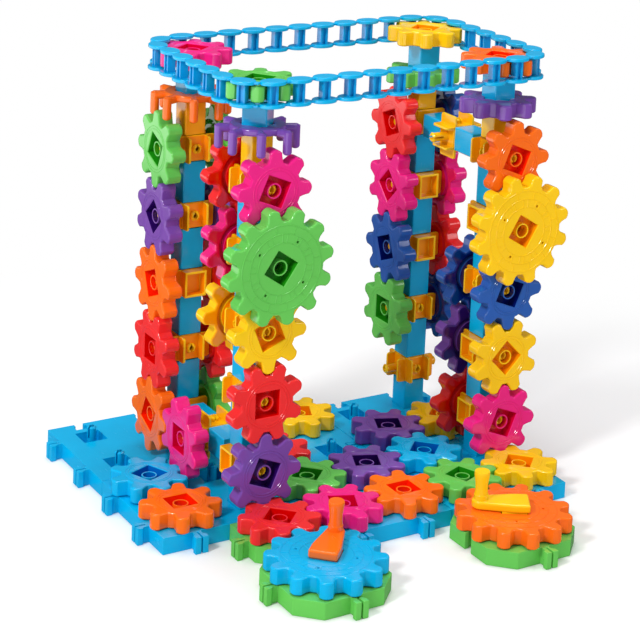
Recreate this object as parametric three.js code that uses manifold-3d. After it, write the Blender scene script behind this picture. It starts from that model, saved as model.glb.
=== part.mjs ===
// A building toy of plastic gears: interlocking base plates, four square columns, gear trains on
// the plates and up the columns, a link chain round the column tops and two hand cranks.
// Millimetres, +Z up, +X to the right and +Y to the back of the toy.
import * as THREE from 'three';
import * as BufferGeometryUtils from 'three/addons/utils/BufferGeometryUtils.js';
import Module from 'manifold-3d';

const wasm = await Module();
wasm.setup();

// Peg grid and its plates
const PITCH = 46; // from one peg to the next, and from one small gear's centre to the next
const PLATE_THICKNESS = 11;
const PLATE_FLOOR = 3; // under the square pockets
const CELL_CHAMFER = 12; // at the free corner of the one-peg plate
const TAB_NECK_WIDTH = 6.4;
const TAB_HEAD_WIDTH = 9;
const TAB_REACH = 8.6;
const TAB_NECK_SHARE = 0.4; // of the reach, up to where the head begins to widen
const TAB_HEAD_SHARE = 0.6; // of the reach, up to where the head is at its widest
const NOTCH_CLEARANCE = 0.4; // round a tab in its notch

// Square sockets and the pillars that plug into them
const PILLAR_SIDE = 16.4;
const SOCKET_CLEARANCE = 0.3; // on each side of a pillar in its socket
const FIT_GAP = 0.3; // between pieces that touch

// Pegs
const PEG_RADIUS = 3;
const PEG_SIDES = 6;
const PEG_RISE = 7.5; // above the plate
const BORE_CLEARANCE = 0.4; // round a peg

// Gears
const SMALL_TEETH = 8;
const BIG_TEETH = 12;
const GEAR_THICKNESS = 10.6;
const GEAR_FLOOR = 3; // under the square socket of a gear
const ADDENDUM = 3.4; // from the pitch circle to the tip
const TIP_CLEARANCE = 0.9; // from a tip to the other gear's root
const TOOTH_THICKNESS = 7.4; // at the pitch circle
const FLANK_SLOPE_SHARE = 0.28; // how far a flank leans in for each step outwards
const TAPER_TIP_DROP = 2.4; // from a tooth's inner end to its outer end
const TAPER_SIDE_DROP = 1.6;
const STACK_GAP = 0.5; // between the two gears of a stacked pair

// Columns
const LEVEL_COUNT = 5;
const LOWEST_AXLE_RISE = 29.8; // from the plate to the lowest axle
const AXLE_BLOCK_HEIGHT = 17.5;
const RAIL_REACH = 15; // from the column's centre line to the ends of the rails
const RAIL_THICKNESS = 2.2;
const RAIL_INSET = 0.6; // from the side of the pillar to the rail
const AXLE_PEG_REACH = 22; // from the column's centre line to the end of an axle peg
const SPACER_INSET = 0.7; // from the side of the pillar to the spacer above the top axle
const SPACER_PEG_LENGTH = 10;

// Tops that turn: drive gear, pillar piece and chain gear
const TOP_GEAR_GAP = 0.5; // from the tips of the top axle's gears to a flat drive gear
const TOP_PILLAR_HEIGHT = 19;
const CROWN_DISC_THICKNESS = 4.5;
const CROWN_DISC_RADIUS = 14.5;
const CROWN_FINGER_LENGTH = 11.6;
const CROWN_FINGER_RADIUS = 2.6;
const CROWN_FINGER_SIDES = 6;

// Chain
const LINKS_PER_STEP_SHARE = 2.5; // links for each step of the peg grid
const CHAIN_PLATE_THICKNESS = 2.8;
const CHAIN_PLATE_WIDTH = 13;
const CHAIN_WAIST_WIDTH = 9.4;
const CHAIN_POST_SIDE = 5.2;

// Cranks
const CRANK_BASE_CHAMFER = 14;
const CRANK_ARM_THICKNESS = 5.5;
const CRANK_THROW = 21; // from the crank's axis to its knob
const CRANK_HEEL_WIDTH = 19;
const CRANK_HEEL_REACH = 10; // of the arm behind the axis
const CRANK_HEEL_CHAMFER = 1.5;
const CRANK_TIP_RADIUS = 5.9;
const CRANK_TIP_STEPS = 6; // round the arm's tip
const KNOB_RADIUS = 5;
const KNOB_WAIST_RADIUS = 4.1;
const KNOB_WAIST_SHARE = 0.4; // of the knob's height, up to its waist
const KNOB_HEIGHT = 18.6;
const KNOB_SIDES = 12;
const KNOB_CROWN_HEIGHT = 0.9;
const KNOB_CROWN_INSET = 0.9;
const LEFT_ARM_TURN = 45; // degrees, from the crank gear's own zero
const RIGHT_ARM_TURN = 135; // degrees, likewise

const OVERRUN = 2; // how far a cutter runs past what it cuts

// Sizes that follow
const FULL_TURN = Math.PI * 2;
const QUARTER_TURN = Math.PI / 2;
const radians = THREE.MathUtils.degToRad;
const pitchRadius = (teeth) => (PITCH * teeth) / (2 * SMALL_TEETH);
const tipRadius = (teeth) => pitchRadius(teeth) + ADDENDUM;
const rootRadius = (teeth) => pitchRadius(teeth) - ADDENDUM - TIP_CLEARANCE;
const toothStep = (teeth) => FULL_TURN / teeth;
const SOCKET_SIDE = PILLAR_SIDE + 2 * SOCKET_CLEARANCE;
const SOCKET_DEPTH = GEAR_THICKNESS - GEAR_FLOOR;
const BORE_RADIUS = (PEG_RADIUS + BORE_CLEARANCE) / Math.cos(Math.PI / PEG_SIDES);
const GEAR_SEAT = RAIL_REACH + FIT_GAP; // from a column's centre line to the gears on it
const PLATE_TOP = PLATE_THICKNESS;
const GEAR_BOTTOM = PLATE_TOP + FIT_GAP;
const axleHeight = (level) => PLATE_TOP + LOWEST_AXLE_RISE + PITCH * (LEVEL_COUNT - level);
const FLAT_GEAR_BOTTOM = axleHeight(1) + tipRadius(SMALL_TEETH) + TOP_GEAR_GAP;
const DRIVE_GEAR_TOP = FLAT_GEAR_BOTTOM + GEAR_THICKNESS;
const CROWN_DISC_BOTTOM = DRIVE_GEAR_TOP - CROWN_DISC_THICKNESS;
const CHAIN_GEAR_BOTTOM = DRIVE_GEAR_TOP + TOP_PILLAR_HEIGHT;
const CHAIN_GEAR_TOP = CHAIN_GEAR_BOTTOM + GEAR_THICKNESS;
const CRANK_DISTANCE = pitchRadius(SMALL_TEETH) + pitchRadius(BIG_TEETH);
const CRANK_BASE_HALF_WIDTH = CRANK_DISTANCE - PITCH / 2;
const LINK_PITCH = PITCH / LINKS_PER_STEP_SHARE;
const CHAIN_RADIUS = LINK_PITCH / 2 / Math.sin(toothStep(SMALL_TEETH) / 2);

// Materials
const COLOURS = {
  sky: 0x14aee0,
  magenta: 0xe8178a,
  purple: 0x6f42a6,
  green: 0x5fc05a,
  yellow: 0xf4c21c,
  orange: 0xf7781c,
  red: 0xea2430,
  blue: 0x1f55b0,
};

function plastic(colour) {
  return new THREE.MeshStandardMaterial({ color: COLOURS[colour], roughness: 0.25, metalness: 0 });
}

// Solids made from geometries, for joining and cutting
function solid(geometry) {
  const bare = geometry.clone();
  bare.deleteAttribute('normal');
  bare.deleteAttribute('uv');
  const merged = BufferGeometryUtils.mergeVertices(bare);
  const mesh = new wasm.Mesh({
    numProp: 3,
    vertProperties: new Float32Array(merged.attributes.position.array),
    triVerts: new Uint32Array(merged.index.array),
  });
  return new wasm.Manifold(mesh);
}

function geometryOf(manifold) {
  const mesh = manifold.getMesh();
  const geometry = new THREE.BufferGeometry();
  geometry.setAttribute('position', new THREE.BufferAttribute(mesh.vertProperties, 3));
  geometry.setIndex(new THREE.BufferAttribute(mesh.triVerts, 1));
  geometry.computeVertexNormals();
  return geometry;
}

const joined = (geometries) => geometries.map(solid).reduce((all, next) => all.add(next));

const union = (geometries) => geometryOf(joined(geometries));

const cut = (geometries, cutters) => geometryOf(joined(geometries).subtract(joined(cutters)));

// A solid through flat outlines with equally many points, one above the other
function loft(layers) {
  const count = layers[0].points.length;
  const last = count * (layers.length - 1);
  const positions = layers.flatMap(({ height, points }) => points.flatMap((p) => [p.x, p.y, height]));
  const index = [];
  for (let start = 0; start < last; start += count) {
    for (let k = 0; k < count; k += 1) {
      const a = start + k;
      const b = start + ((k + 1) % count);
      index.push(a, b, b + count, a, b + count, a + count);
    }
  }
  for (const [a, b, c] of THREE.ShapeUtils.triangulateShape(layers[0].points, [])) {
    index.push(c, b, a);
  }
  for (const [a, b, c] of THREE.ShapeUtils.triangulateShape(layers[layers.length - 1].points, [])) {
    index.push(a + last, b + last, c + last);
  }
  const geometry = new THREE.BufferGeometry();
  geometry.setAttribute('position', new THREE.Float32BufferAttribute(positions, 3));
  geometry.setIndex(index);
  return geometry;
}

const prism = (points, bottom, top) => loft([{ height: bottom, points }, { height: top, points }]);

function ringPoints(radius, sides, turn = 0) {
  return Array.from({ length: sides }, (_, k) => {
    const angle = turn + (k * FULL_TURN) / sides;
    return new THREE.Vector2(radius * Math.cos(angle), radius * Math.sin(angle));
  });
}

function squarePoints(side, turn = 0) {
  return ringPoints(side / Math.SQRT2, 4, turn + QUARTER_TURN / 2);
}

function boxAround(width, depth, height, x, y, z) {
  return new THREE.BoxGeometry(width, depth, height).translate(x, y, z);
}

// Points from steps outwards and sideways in a direction
function stepped(angle, steps) {
  const out = new THREE.Vector2(Math.cos(angle), Math.sin(angle));
  const side = new THREE.Vector2(-out.y, out.x);
  return steps.map(([r, w]) => out.clone().multiplyScalar(r).addScaledVector(side, w));
}

const pegHole = (bottom, top) => prism(ringPoints(BORE_RADIUS, PEG_SIDES), bottom - OVERRUN, top);

const peg = (bottom, top) => prism(ringPoints(PEG_RADIUS, PEG_SIDES), bottom, top);

// Gears. The teeth taper towards their outer ends, so that gears also mesh at right angles.
function toothHalfWidth(teeth, radius) {
  return TOOTH_THICKNESS / 2 - FLANK_SLOPE_SHARE * (radius - pitchRadius(teeth));
}

function gearOutline(teeth, tipDrop, sideDrop) {
  const root = rootRadius(teeth);
  const tip = tipRadius(teeth) - tipDrop;
  const tipHalf = toothHalfWidth(teeth, tip) - sideDrop;
  const rootHalf = toothHalfWidth(teeth, root) - sideDrop;
  const tooth = [[root, -rootHalf], [tip, -tipHalf], [tip, tipHalf], [root, rootHalf]];
  return Array.from({ length: teeth }, (_, k) => stepped(k * toothStep(teeth), tooth)).flat();
}

function gearBlank(teeth, bottom) {
  return loft([
    { height: bottom, points: gearOutline(teeth, 0, 0) },
    { height: bottom + GEAR_THICKNESS, points: gearOutline(teeth, TAPER_TIP_DROP, TAPER_SIDE_DROP) },
  ]);
}

// The corners of the square socket point at gaps on a small gear and at teeth on a big one
function socketTurn(teeth) {
  return teeth === SMALL_TEETH ? toothStep(SMALL_TEETH) / 2 : QUARTER_TURN / 2;
}

function socketCutter(teeth, top) {
  return prism(squarePoints(SOCKET_SIDE, socketTurn(teeth)), top - SOCKET_DEPTH, top + OVERRUN);
}

// A gear lies on its back, with its socket upwards
function gear(teeth) {
  return cut([gearBlank(teeth, 0)], [socketCutter(teeth, GEAR_THICKNESS), pegHole(0, GEAR_THICKNESS)]);
}

// A small gear with a big one plugged into its socket
function stackedGears() {
  const bigBottom = GEAR_THICKNESS + STACK_GAP;
  const plugSquare = squarePoints(PILLAR_SIDE, socketTurn(SMALL_TEETH));
  const plug = prism(plugSquare, GEAR_FLOOR, bigBottom + GEAR_FLOOR / 2);
  return cut(
    [gearBlank(SMALL_TEETH, 0), plug, gearBlank(BIG_TEETH, bigBottom)],
    [socketCutter(BIG_TEETH, bigBottom + GEAR_THICKNESS), pegHole(0, AXLE_PEG_REACH - RAIL_REACH)],
  );
}

// A crown wheel: a disc with eight arms that end in fingers pointing down
function crownWheel() {
  const armEnd = pitchRadius(SMALL_TEETH) + CROWN_FINGER_RADIUS;
  const half = CROWN_FINGER_RADIUS;
  const arm = [[0, -half], [armEnd, -half], [armEnd, half], [0, half]];
  const bottom = CROWN_DISC_BOTTOM;
  const parts = [prism(ringPoints(CROWN_DISC_RADIUS, SMALL_TEETH), bottom, DRIVE_GEAR_TOP)];
  for (let k = 0; k < SMALL_TEETH; k += 1) {
    const angle = k * toothStep(SMALL_TEETH);
    const [place] = stepped(angle, [[pitchRadius(SMALL_TEETH), 0]]);
    const section = ringPoints(CROWN_FINGER_RADIUS, CROWN_FINGER_SIDES, angle);
    const finger = prism(section, bottom - CROWN_FINGER_LENGTH, bottom + CROWN_DISC_THICKNESS / 2);
    parts.push(prism(stepped(angle, arm), bottom, DRIVE_GEAR_TOP), finger.translate(place.x, place.y, 0));
  }
  return parts;
}

// A drive wheel, a pillar piece and a chain gear, plugged together and turning as one
function turningTop({ crowned, pillarTurn }) {
  const bottom = crowned ? CROWN_DISC_BOTTOM : FLAT_GEAR_BOTTOM;
  const drive = crowned ? crownWheel() : [gearBlank(SMALL_TEETH, FLAT_GEAR_BOTTOM)];
  const pillar = squarePoints(PILLAR_SIDE, radians(pillarTurn));
  const pillarFoot = DRIVE_GEAR_TOP - CROWN_DISC_THICKNESS / 2;
  const parts = [
    ...drive,
    prism(pillar, pillarFoot, CHAIN_GEAR_BOTTOM + GEAR_FLOOR / 2),
    gearBlank(SMALL_TEETH, CHAIN_GEAR_BOTTOM),
  ];
  const pegTop = bottom + SPACER_PEG_LENGTH;
  return cut(parts, [socketCutter(SMALL_TEETH, CHAIN_GEAR_TOP), pegHole(bottom, pegTop)]);
}

// An axle block has two rails on each open side, upright or lying flat, and a peg on each side
// where gears hang
function uprightRails(height) {
  const place = (PILLAR_SIDE - RAIL_THICKNESS) / 2 - RAIL_INSET;
  const reach = 2 * RAIL_REACH;
  return [-place, place].flatMap((aside) => [
    boxAround(reach, RAIL_THICKNESS, AXLE_BLOCK_HEIGHT, 0, aside, height),
    boxAround(RAIL_THICKNESS, reach, AXLE_BLOCK_HEIGHT, aside, 0, height),
  ]);
}

function flatRails(height) {
  const place = (AXLE_BLOCK_HEIGHT - RAIL_THICKNESS) / 2;
  const width = PILLAR_SIDE - 2 * RAIL_INSET;
  return [-place, place].flatMap((lift) => [
    boxAround(2 * RAIL_REACH, width, RAIL_THICKNESS, 0, 0, height + lift),
    boxAround(width, 2 * RAIL_REACH, RAIL_THICKNESS, 0, 0, height + lift),
  ]);
}

function axleBlock(height, flat, pegSides) {
  const reachTo = (side) => (pegSides.includes(side) ? AXLE_PEG_REACH : PILLAR_SIDE / 2);
  const alongX = peg(-reachTo('left'), reachTo('right')).rotateY(QUARTER_TURN);
  const alongY = peg(-reachTo('front'), reachTo('back')).rotateX(-QUARTER_TURN);
  const rails = flat ? flatRails(height) : uprightRails(height);
  return [...rails, alongX.translate(0, 0, height), alongY.translate(0, 0, height)];
}

// The pillars, axle blocks and spacer of a column, plugged together
function column({ crowned, flatLevels, bridgeLevel, bridgeSide, pegSides }) {
  const foot = PLATE_FLOOR + FIT_GAP;
  const topAxle = axleHeight(1);
  const wheelBottom = crowned ? CROWN_DISC_BOTTOM : FLAT_GEAR_BOTTOM;
  const spacerTop = wheelBottom - FIT_GAP;
  const parts = [
    prism(squarePoints(PILLAR_SIDE), foot, topAxle + AXLE_BLOCK_HEIGHT / 2),
    prism(squarePoints(PILLAR_SIDE - 2 * SPACER_INSET), topAxle, spacerTop),
    peg(topAxle, spacerTop + SPACER_PEG_LENGTH),
  ];
  for (let level = 1; level <= LEVEL_COUNT; level += 1) {
    const open = pegSides.filter((side) => level !== bridgeLevel || side !== bridgeSide);
    parts.push(...axleBlock(axleHeight(level), flatLevels.includes(level), open));
  }
  return parts;
}

// Two pillar pieces lying along Y with an axle block between them, from column to column
function bridge(flat) {
  const beam = boxAround(PILLAR_SIDE, 2 * PITCH, PILLAR_SIDE, 0, 0, 0);
  const core = boxAround(PILLAR_SIDE, PILLAR_SIDE, AXLE_BLOCK_HEIGHT, 0, 0, 0);
  return [beam, core, ...axleBlock(0, flat, ['left', 'right'])];
}

// Two columns and the bridge between them
function sideFrame({ cell, level, flat, columns }) {
  const standing = columns.flatMap((key) => {
    const { x, y } = atCell(COLUMN_SHARES[key].cell);
    return column(COLUMN_SHARES[key]).map((part) => part.translate(x, y, 0));
  });
  const { x, y, z } = atCell(cell, axleHeight(level));
  return union([...standing, ...bridge(flat).map((part) => part.translate(x, y, z))]);
}

// Tabs and notches: a place has a point on the plate's edge and the direction outwards
function tabPoints({ x, y, angle }, inset, grow) {
  const neck = TAB_NECK_WIDTH / 2 + grow;
  const head = TAB_HEAD_WIDTH / 2 + grow;
  const neckEnd = TAB_REACH * TAB_NECK_SHARE - grow;
  const headStart = TAB_REACH * TAB_HEAD_SHARE - grow;
  const reach = TAB_REACH + grow;
  const side = [[-inset, neck], [neckEnd, neck], [headStart, head], [reach, head]];
  const mirrored = side.map(([r, w]) => [r, -w]);
  const centre = new THREE.Vector2(x, y);
  return stepped(angle, [...mirrored, ...side.reverse()]).map((p) => p.add(centre));
}

const tab = (place) => prism(tabPoints(place, OVERRUN, 0), 0, PLATE_THICKNESS);

function notchCutter({ x, y, angle }) {
  const inwards = { x, y, angle: angle + Math.PI };
  return prism(tabPoints(inwards, OVERRUN, NOTCH_CLEARANCE), -OVERRUN, PLATE_THICKNESS + OVERRUN);
}

const pocketCutter = () => prism(squarePoints(SOCKET_SIDE), PLATE_FLOOR, PLATE_TOP + OVERRUN);

const platePeg = () => peg(PLATE_FLOOR / 2, PLATE_TOP + PEG_RISE);

const SIDES = {
  right: { angle: 0, x: 1, y: 0 },
  back: { angle: QUARTER_TURN, x: 0, y: 1 },
  left: { angle: Math.PI, x: -1, y: 0 },
  front: { angle: -QUARTER_TURN, x: 0, y: -1 },
};

// A plate two pegs wide, with tabs on its left and front edges and notches on the other two.
// Its front left peg is at the origin. Pillars stand in the pockets without a peg.
function plateStrip({ columns, rows, pillarCells }) {
  const half = PITCH / 2;
  const [width, depth] = [(columns - 1) * PITCH, (rows - 1) * PITCH];
  const slab = [[-half, -half], [width + half, -half], [width + half, depth + half], [-half, depth + half]];
  const body = [prism(slab.map(([x, y]) => new THREE.Vector2(x, y)), 0, PLATE_THICKNESS)];
  const notches = [];
  for (let row = 0; row < rows; row += 1) {
    body.push(tab({ x: -half, y: row * PITCH, angle: SIDES.left.angle }));
    notches.push(notchCutter({ x: width + half, y: row * PITCH, angle: SIDES.right.angle }));
  }
  for (let step = 0; step < columns; step += 1) {
    body.push(tab({ x: step * PITCH, y: -half, angle: SIDES.front.angle }));
    notches.push(notchCutter({ x: step * PITCH, y: depth + half, angle: SIDES.back.angle }));
  }
  const cells = Array.from({ length: rows * columns }, (_, k) => [k % columns, Math.floor(k / columns)]);
  const isPillar = ([i, j]) => pillarCells.some(([a, b]) => a === i && b === j);
  const at = (geometry, [i, j]) => geometry.translate(i * PITCH, j * PITCH, 0);
  const pockets = cells.map((cell) => at(pocketCutter(), cell));
  const pegs = cells.filter((cell) => !isPillar(cell)).map((cell) => at(platePeg(), cell));
  return joined(body).subtract(joined([...notches, ...pockets])).add(joined(pegs));
}

// The octagonal plate under a crank
function crankPlate(tabSides, notchSides) {
  const half = CRANK_BASE_HALF_WIDTH;
  const shoulder = half - CRANK_BASE_CHAMFER;
  const corner = [[half, shoulder], [shoulder, half]];
  const points = [0, 1, 2, 3].flatMap((turn) => stepped(turn * QUARTER_TURN, corner));
  const place = (side) => ({ x: SIDES[side].x * half, y: SIDES[side].y * half, angle: SIDES[side].angle });
  const body = [prism(points, 0, PLATE_THICKNESS), ...tabSides.map((side) => tab(place(side)))];
  const cutters = [pocketCutter(), ...notchSides.map((side) => notchCutter(place(side)))];
  return joined(body).subtract(joined(cutters)).add(solid(platePeg()));
}

// The one-peg plate behind the left crank's plate, with its left front corner cut off
function cornerPlate() {
  const half = PITCH / 2;
  const shoulder = half - CELL_CHAMFER;
  const outline = [[-half, -shoulder], [-shoulder, -half], [half, -half], [half, half], [-half, half]];
  const points = outline.map(([x, y]) => new THREE.Vector2(x, y));
  const frontTab = tab({ x: 0, y: -half, angle: SIDES.front.angle });
  const leftTab = tab({ x: -half, y: 0, angle: SIDES.left.angle });
  const notches = [
    notchCutter({ x: half, y: 0, angle: SIDES.right.angle }),
    notchCutter({ x: 0, y: half, angle: SIDES.back.angle }),
  ];
  const body = joined([prism(points, 0, PLATE_THICKNESS), frontTab, leftTab]);
  return body.subtract(joined([...notches, pocketCutter()])).add(solid(platePeg()));
}

// All the plates, plugged together
function basePlates() {
  const placed = (plate, x, y) => plate.translate([x, y, 0]);
  const strips = Object.values(STRIP_SHARES).map((strip) => {
    const { x, y } = atCell(strip.cell);
    return placed(plateStrip(strip), x, y);
  });
  const [left, right] = [CRANK_SHARES.left.column * PITCH, CRANK_SHARES.right.column * PITCH];
  const cranks = [
    placed(crankPlate(['left', 'front'], ['right', 'back']), left, -CRANK_DISTANCE),
    placed(cornerPlate(), left, 0),
    placed(crankPlate(['right', 'front'], ['left', 'back']), right, -CRANK_DISTANCE),
  ];
  return geometryOf([...strips, ...cranks].reduce((all, next) => all.add(next)));
}

// A crank: a plug for the gear's socket, a flat arm on top of the gear and an upright knob
function crankHandle() {
  const plug = prism(squarePoints(PILLAR_SIDE), GEAR_FLOOR + FIT_GAP, GEAR_THICKNESS + CRANK_ARM_THICKNESS);
  const armBottom = GEAR_THICKNESS + FIT_GAP;
  const armTop = armBottom + CRANK_ARM_THICKNESS;
  const heelHalf = CRANK_HEEL_WIDTH / 2;
  const inner = heelHalf - CRANK_HEEL_CHAMFER;
  const shoulder = CRANK_HEEL_REACH - CRANK_HEEL_CHAMFER;
  const heel = [[PILLAR_SIDE / 2, heelHalf], [-shoulder, heelHalf], [-CRANK_HEEL_REACH, inner]];
  const heelMirrored = heel.map(([x, y]) => [x, -y]).reverse();
  const tip = Array.from({ length: CRANK_TIP_STEPS + 1 }, (_, k) => {
    const angle = -QUARTER_TURN + (k * Math.PI) / CRANK_TIP_STEPS;
    return [CRANK_THROW + CRANK_TIP_RADIUS * Math.cos(angle), CRANK_TIP_RADIUS * Math.sin(angle)];
  });
  const outline = [...heelMirrored, ...tip, ...heel].map(([x, y]) => new THREE.Vector2(x, y));
  const knobFoot = armTop - CRANK_ARM_THICKNESS / 2;
  const knobTop = armTop + KNOB_HEIGHT;
  const knobRing = (height, radius) => ({ height, points: ringPoints(radius, KNOB_SIDES) });
  const knob = loft([
    knobRing(knobFoot, KNOB_RADIUS),
    knobRing(armTop + KNOB_HEIGHT * KNOB_WAIST_SHARE, KNOB_WAIST_RADIUS),
    knobRing(knobTop - KNOB_CROWN_HEIGHT, KNOB_RADIUS),
    knobRing(knobTop, KNOB_RADIUS - KNOB_CROWN_INSET),
  ]);
  const pegRoomTop = PLATE_TOP + PEG_RISE - GEAR_BOTTOM + FIT_GAP;
  const parts = [plug, prism(outline, armBottom, armTop), knob.translate(CRANK_THROW, 0, 0)];
  return cut(parts, [pegHole(0, pegRoomTop)]);
}

// The chain's posts in order round the four chain gears, from the front left corner's left side.
// A post of a corner lies on its gear and is marked as such.
function chainPosts(stepsX, stepsY) {
  const [linksX, linksY] = [stepsX, stepsY].map((steps) => Math.round(steps * LINKS_PER_STEP_SHARE));
  const [width, depth] = [stepsX * PITCH, stepsY * PITCH];
  const corners = [
    { x: 0, y: 0, start: Math.PI, links: linksX },
    { x: width, y: 0, start: -QUARTER_TURN, links: linksY },
    { x: width, y: depth, start: 0, links: linksX },
    { x: 0, y: depth, start: QUARTER_TURN, links: linksY },
  ];
  return corners.flatMap(({ x, y, start, links }) => {
    const end = start + QUARTER_TURN;
    const along = new THREE.Vector2(-Math.sin(end), Math.cos(end));
    const posts = [0, 1, 2].map((k) => {
      const angle = start + (k * QUARTER_TURN) / 2;
      const out = new THREE.Vector2(Math.cos(angle), Math.sin(angle));
      return { place: new THREE.Vector2(x, y).addScaledVector(out, CHAIN_RADIUS), out, onGear: true };
    });
    const last = posts[2];
    for (let k = 1; k < links; k += 1) {
      const place = last.place.clone().addScaledVector(along, k * LINK_PITCH);
      posts.push({ place, out: last.out, onGear: false });
    }
    return posts;
  });
}

// The chain's outline on one side of its posts, wide at each post and narrow between posts
function chainEdge(posts, side) {
  return posts.flatMap(({ place, out }, k) => {
    const next = posts[(k + 1) % posts.length];
    const between = place.clone().add(next.place).divideScalar(2);
    const outBetween = out.clone().add(next.out).normalize();
    return [
      place.clone().addScaledVector(out, (side * CHAIN_PLATE_WIDTH) / 2),
      between.addScaledVector(outBetween, (side * CHAIN_WAIST_WIDTH) / 2),
    ];
  });
}

function chain({ stepsX, stepsY }) {
  const posts = chainPosts(stepsX, stepsY);
  const band = (bottom) => {
    const height = [bottom, bottom + CHAIN_PLATE_THICKNESS];
    const outer = prism(chainEdge(posts, 1), ...height);
    const inner = prism(chainEdge(posts, -1), height[0] - OVERRUN, height[1] + OVERRUN);
    return solid(outer).subtract(solid(inner));
  };
  const lowerBand = CHAIN_GEAR_BOTTOM - FIT_GAP - CHAIN_PLATE_THICKNESS;
  const upperBand = CHAIN_GEAR_TOP + FIT_GAP;
  const postBottom = lowerBand + CHAIN_PLATE_THICKNESS / 2;
  const postTop = upperBand + CHAIN_PLATE_THICKNESS / 2;
  const free = posts.filter(({ onGear }) => !onGear);
  const uprights = free.map(({ place }) => {
    const post = prism(squarePoints(CHAIN_POST_SIDE), postBottom, postTop);
    return post.translate(place.x, place.y, 0);
  });
  return geometryOf(band(lowerBand).add(band(upperBand)).add(joined(uprights)));
}

// Where everything goes, in steps of the peg grid: the first row and column of pegs are the
// middle plate's
const COLUMN_SHARES = {
  back_left: {
    cell: [-1, 3], crowned: true, pillarTurn: 0, flatLevels: [3], bridgeLevel: 5, bridgeSide: 'front',
    pegSides: ['left', 'right'],
  },
  front_left: {
    cell: [-1, 1], crowned: true, pillarTurn: 45, flatLevels: [5], bridgeLevel: 5, bridgeSide: 'back',
    pegSides: ['front', 'back'],
  },
  back_right: {
    cell: [3, 3], crowned: false, pillarTurn: 0, flatLevels: [1, 2, 3], bridgeLevel: 1, bridgeSide: 'front',
    pegSides: ['left', 'right'],
  },
  front_right: {
    cell: [3, 1], crowned: false, pillarTurn: 0, flatLevels: [2, 4, 5], bridgeLevel: 1, bridgeSide: 'back',
    pegSides: ['front', 'back'],
  },
};
const BRIDGE_SHARES = {
  left: { cell: [-1, 2], level: 5, flat: false, columns: ['back_left', 'front_left'] },
  right: { cell: [3, 2], level: 1, flat: true, columns: ['back_right', 'front_right'] },
};
const CHAIN_SHARES = { cell: [-1, 1], stepsX: 4, stepsY: 2 };
const CRANK_SHARES = {
  left: { column: -1, turnShare: 0, armTurn: LEFT_ARM_TURN, gear: 'sky', handle: 'orange' },
  right: { column: 2, turnShare: 0.5, armTurn: RIGHT_ARM_TURN, gear: 'orange', handle: 'yellow' },
};
const TOP_COLOURS = { back_left: 'orange', front_left: 'purple', back_right: 'green', front_right: 'purple' };
const STRIP_SHARES = {
  left: { cell: [-2, 1], columns: 2, rows: 4, pillarCells: [[1, 0], [1, 2]] },
  middle: { cell: [0, 0], columns: 2, rows: 4, pillarCells: [] },
  right: { cell: [2, 0], columns: 2, rows: 4, pillarCells: [[1, 1], [1, 3]] },
};
const BASE_GEAR_SHARES = [
  { cell: [-1, 0], colour: 'red' },
  { cell: [0, 0], colour: 'magenta' },
  { cell: [1, 0], colour: 'orange' },
  { cell: [2, 0], colour: 'green' },
  { cell: [3, 0], colour: 'yellow' },
  { cell: [-2, 1], colour: 'orange' },
  { cell: [0, 1], colour: 'green' },
  { cell: [1, 1], colour: 'purple' },
  { cell: [2, 1], colour: 'sky' },
  { cell: [-2, 2], colour: 'sky' },
  { cell: [0, 2], colour: 'red' },
  { cell: [2, 2], colour: 'purple' },
  { cell: [3, 2], colour: 'yellow' },
  { cell: [1, 3], colour: 'yellow' },
];
// Gears on a column's sides, from the top level down
const FACE_GEARS = {
  back_left: {
    left: ['green', 'purple', 'orange', 'red', 'orange'],
    right: ['green', 'purple', 'red', 'red'],
  },
  front_left: {
    front: ['magenta', 'green', 'yellow', 'red', 'purple'],
    back: ['red', 'magenta', 'yellow'],
  },
  back_right: {
    left: ['red', 'magenta', 'blue', 'green'],
    right: ['blue', 'magenta', 'red', 'blue'],
  },
  front_right: {
    front: ['orange', 'yellow', 'blue', 'yellow', 'magenta'],
    back: [null, null, 'blue', 'purple', 'red'],
  },
};
const BIG_GEAR_SPOT = { side: 'front', level: 2 };

const toy = new THREE.Group();

function place(name, geometry, colour, parent = toy) {
  const mesh = new THREE.Mesh(geometry, plastic(colour));
  mesh.name = name;
  parent.add(mesh);
  return mesh;
}

// A half step turn puts a gap where a tooth would be
const phase = (odd) => (odd ? toothStep(SMALL_TEETH) / 2 : 0);

function atCell([i, j], height = 0) {
  return new THREE.Vector3(i * PITCH, j * PITCH, height);
}

// A holder on the face of a column, with its own up direction pointing away from the column
function faceHolder(cell, side, level) {
  const holder = new THREE.Group();
  const out = new THREE.Vector3(SIDES[side].x, SIDES[side].y, 0);
  holder.position.copy(atCell(cell, axleHeight(level)).addScaledVector(out, GEAR_SEAT));
  holder.quaternion.setFromUnitVectors(new THREE.Vector3(0, 0, 1), out);
  toy.add(holder);
  return holder;
}

function addFrames() {
  place('base_plates', basePlates(), 'sky');
  for (const [key, spot] of Object.entries(BRIDGE_SHARES)) {
    place(`frame_${key}`, sideFrame(spot), 'sky');
  }
  place('chain', chain(CHAIN_SHARES), 'sky').position.copy(atCell(CHAIN_SHARES.cell));
}

function addTops() {
  for (const [key, spot] of Object.entries(COLUMN_SHARES)) {
    const mesh = place(`top_${key}`, turningTop(spot), TOP_COLOURS[key]);
    mesh.position.copy(atCell(spot.cell));
    mesh.rotation.z = phase(true);
  }
}

function addBaseGears() {
  BASE_GEAR_SHARES.forEach(({ cell, colour }, k) => {
    const mesh = place(`base_gear_${k + 1}`, gear(SMALL_TEETH), colour);
    mesh.position.copy(atCell(cell, GEAR_BOTTOM));
    mesh.rotation.z = phase((cell[0] + cell[1]) % 2 !== 0);
  });
}

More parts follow.
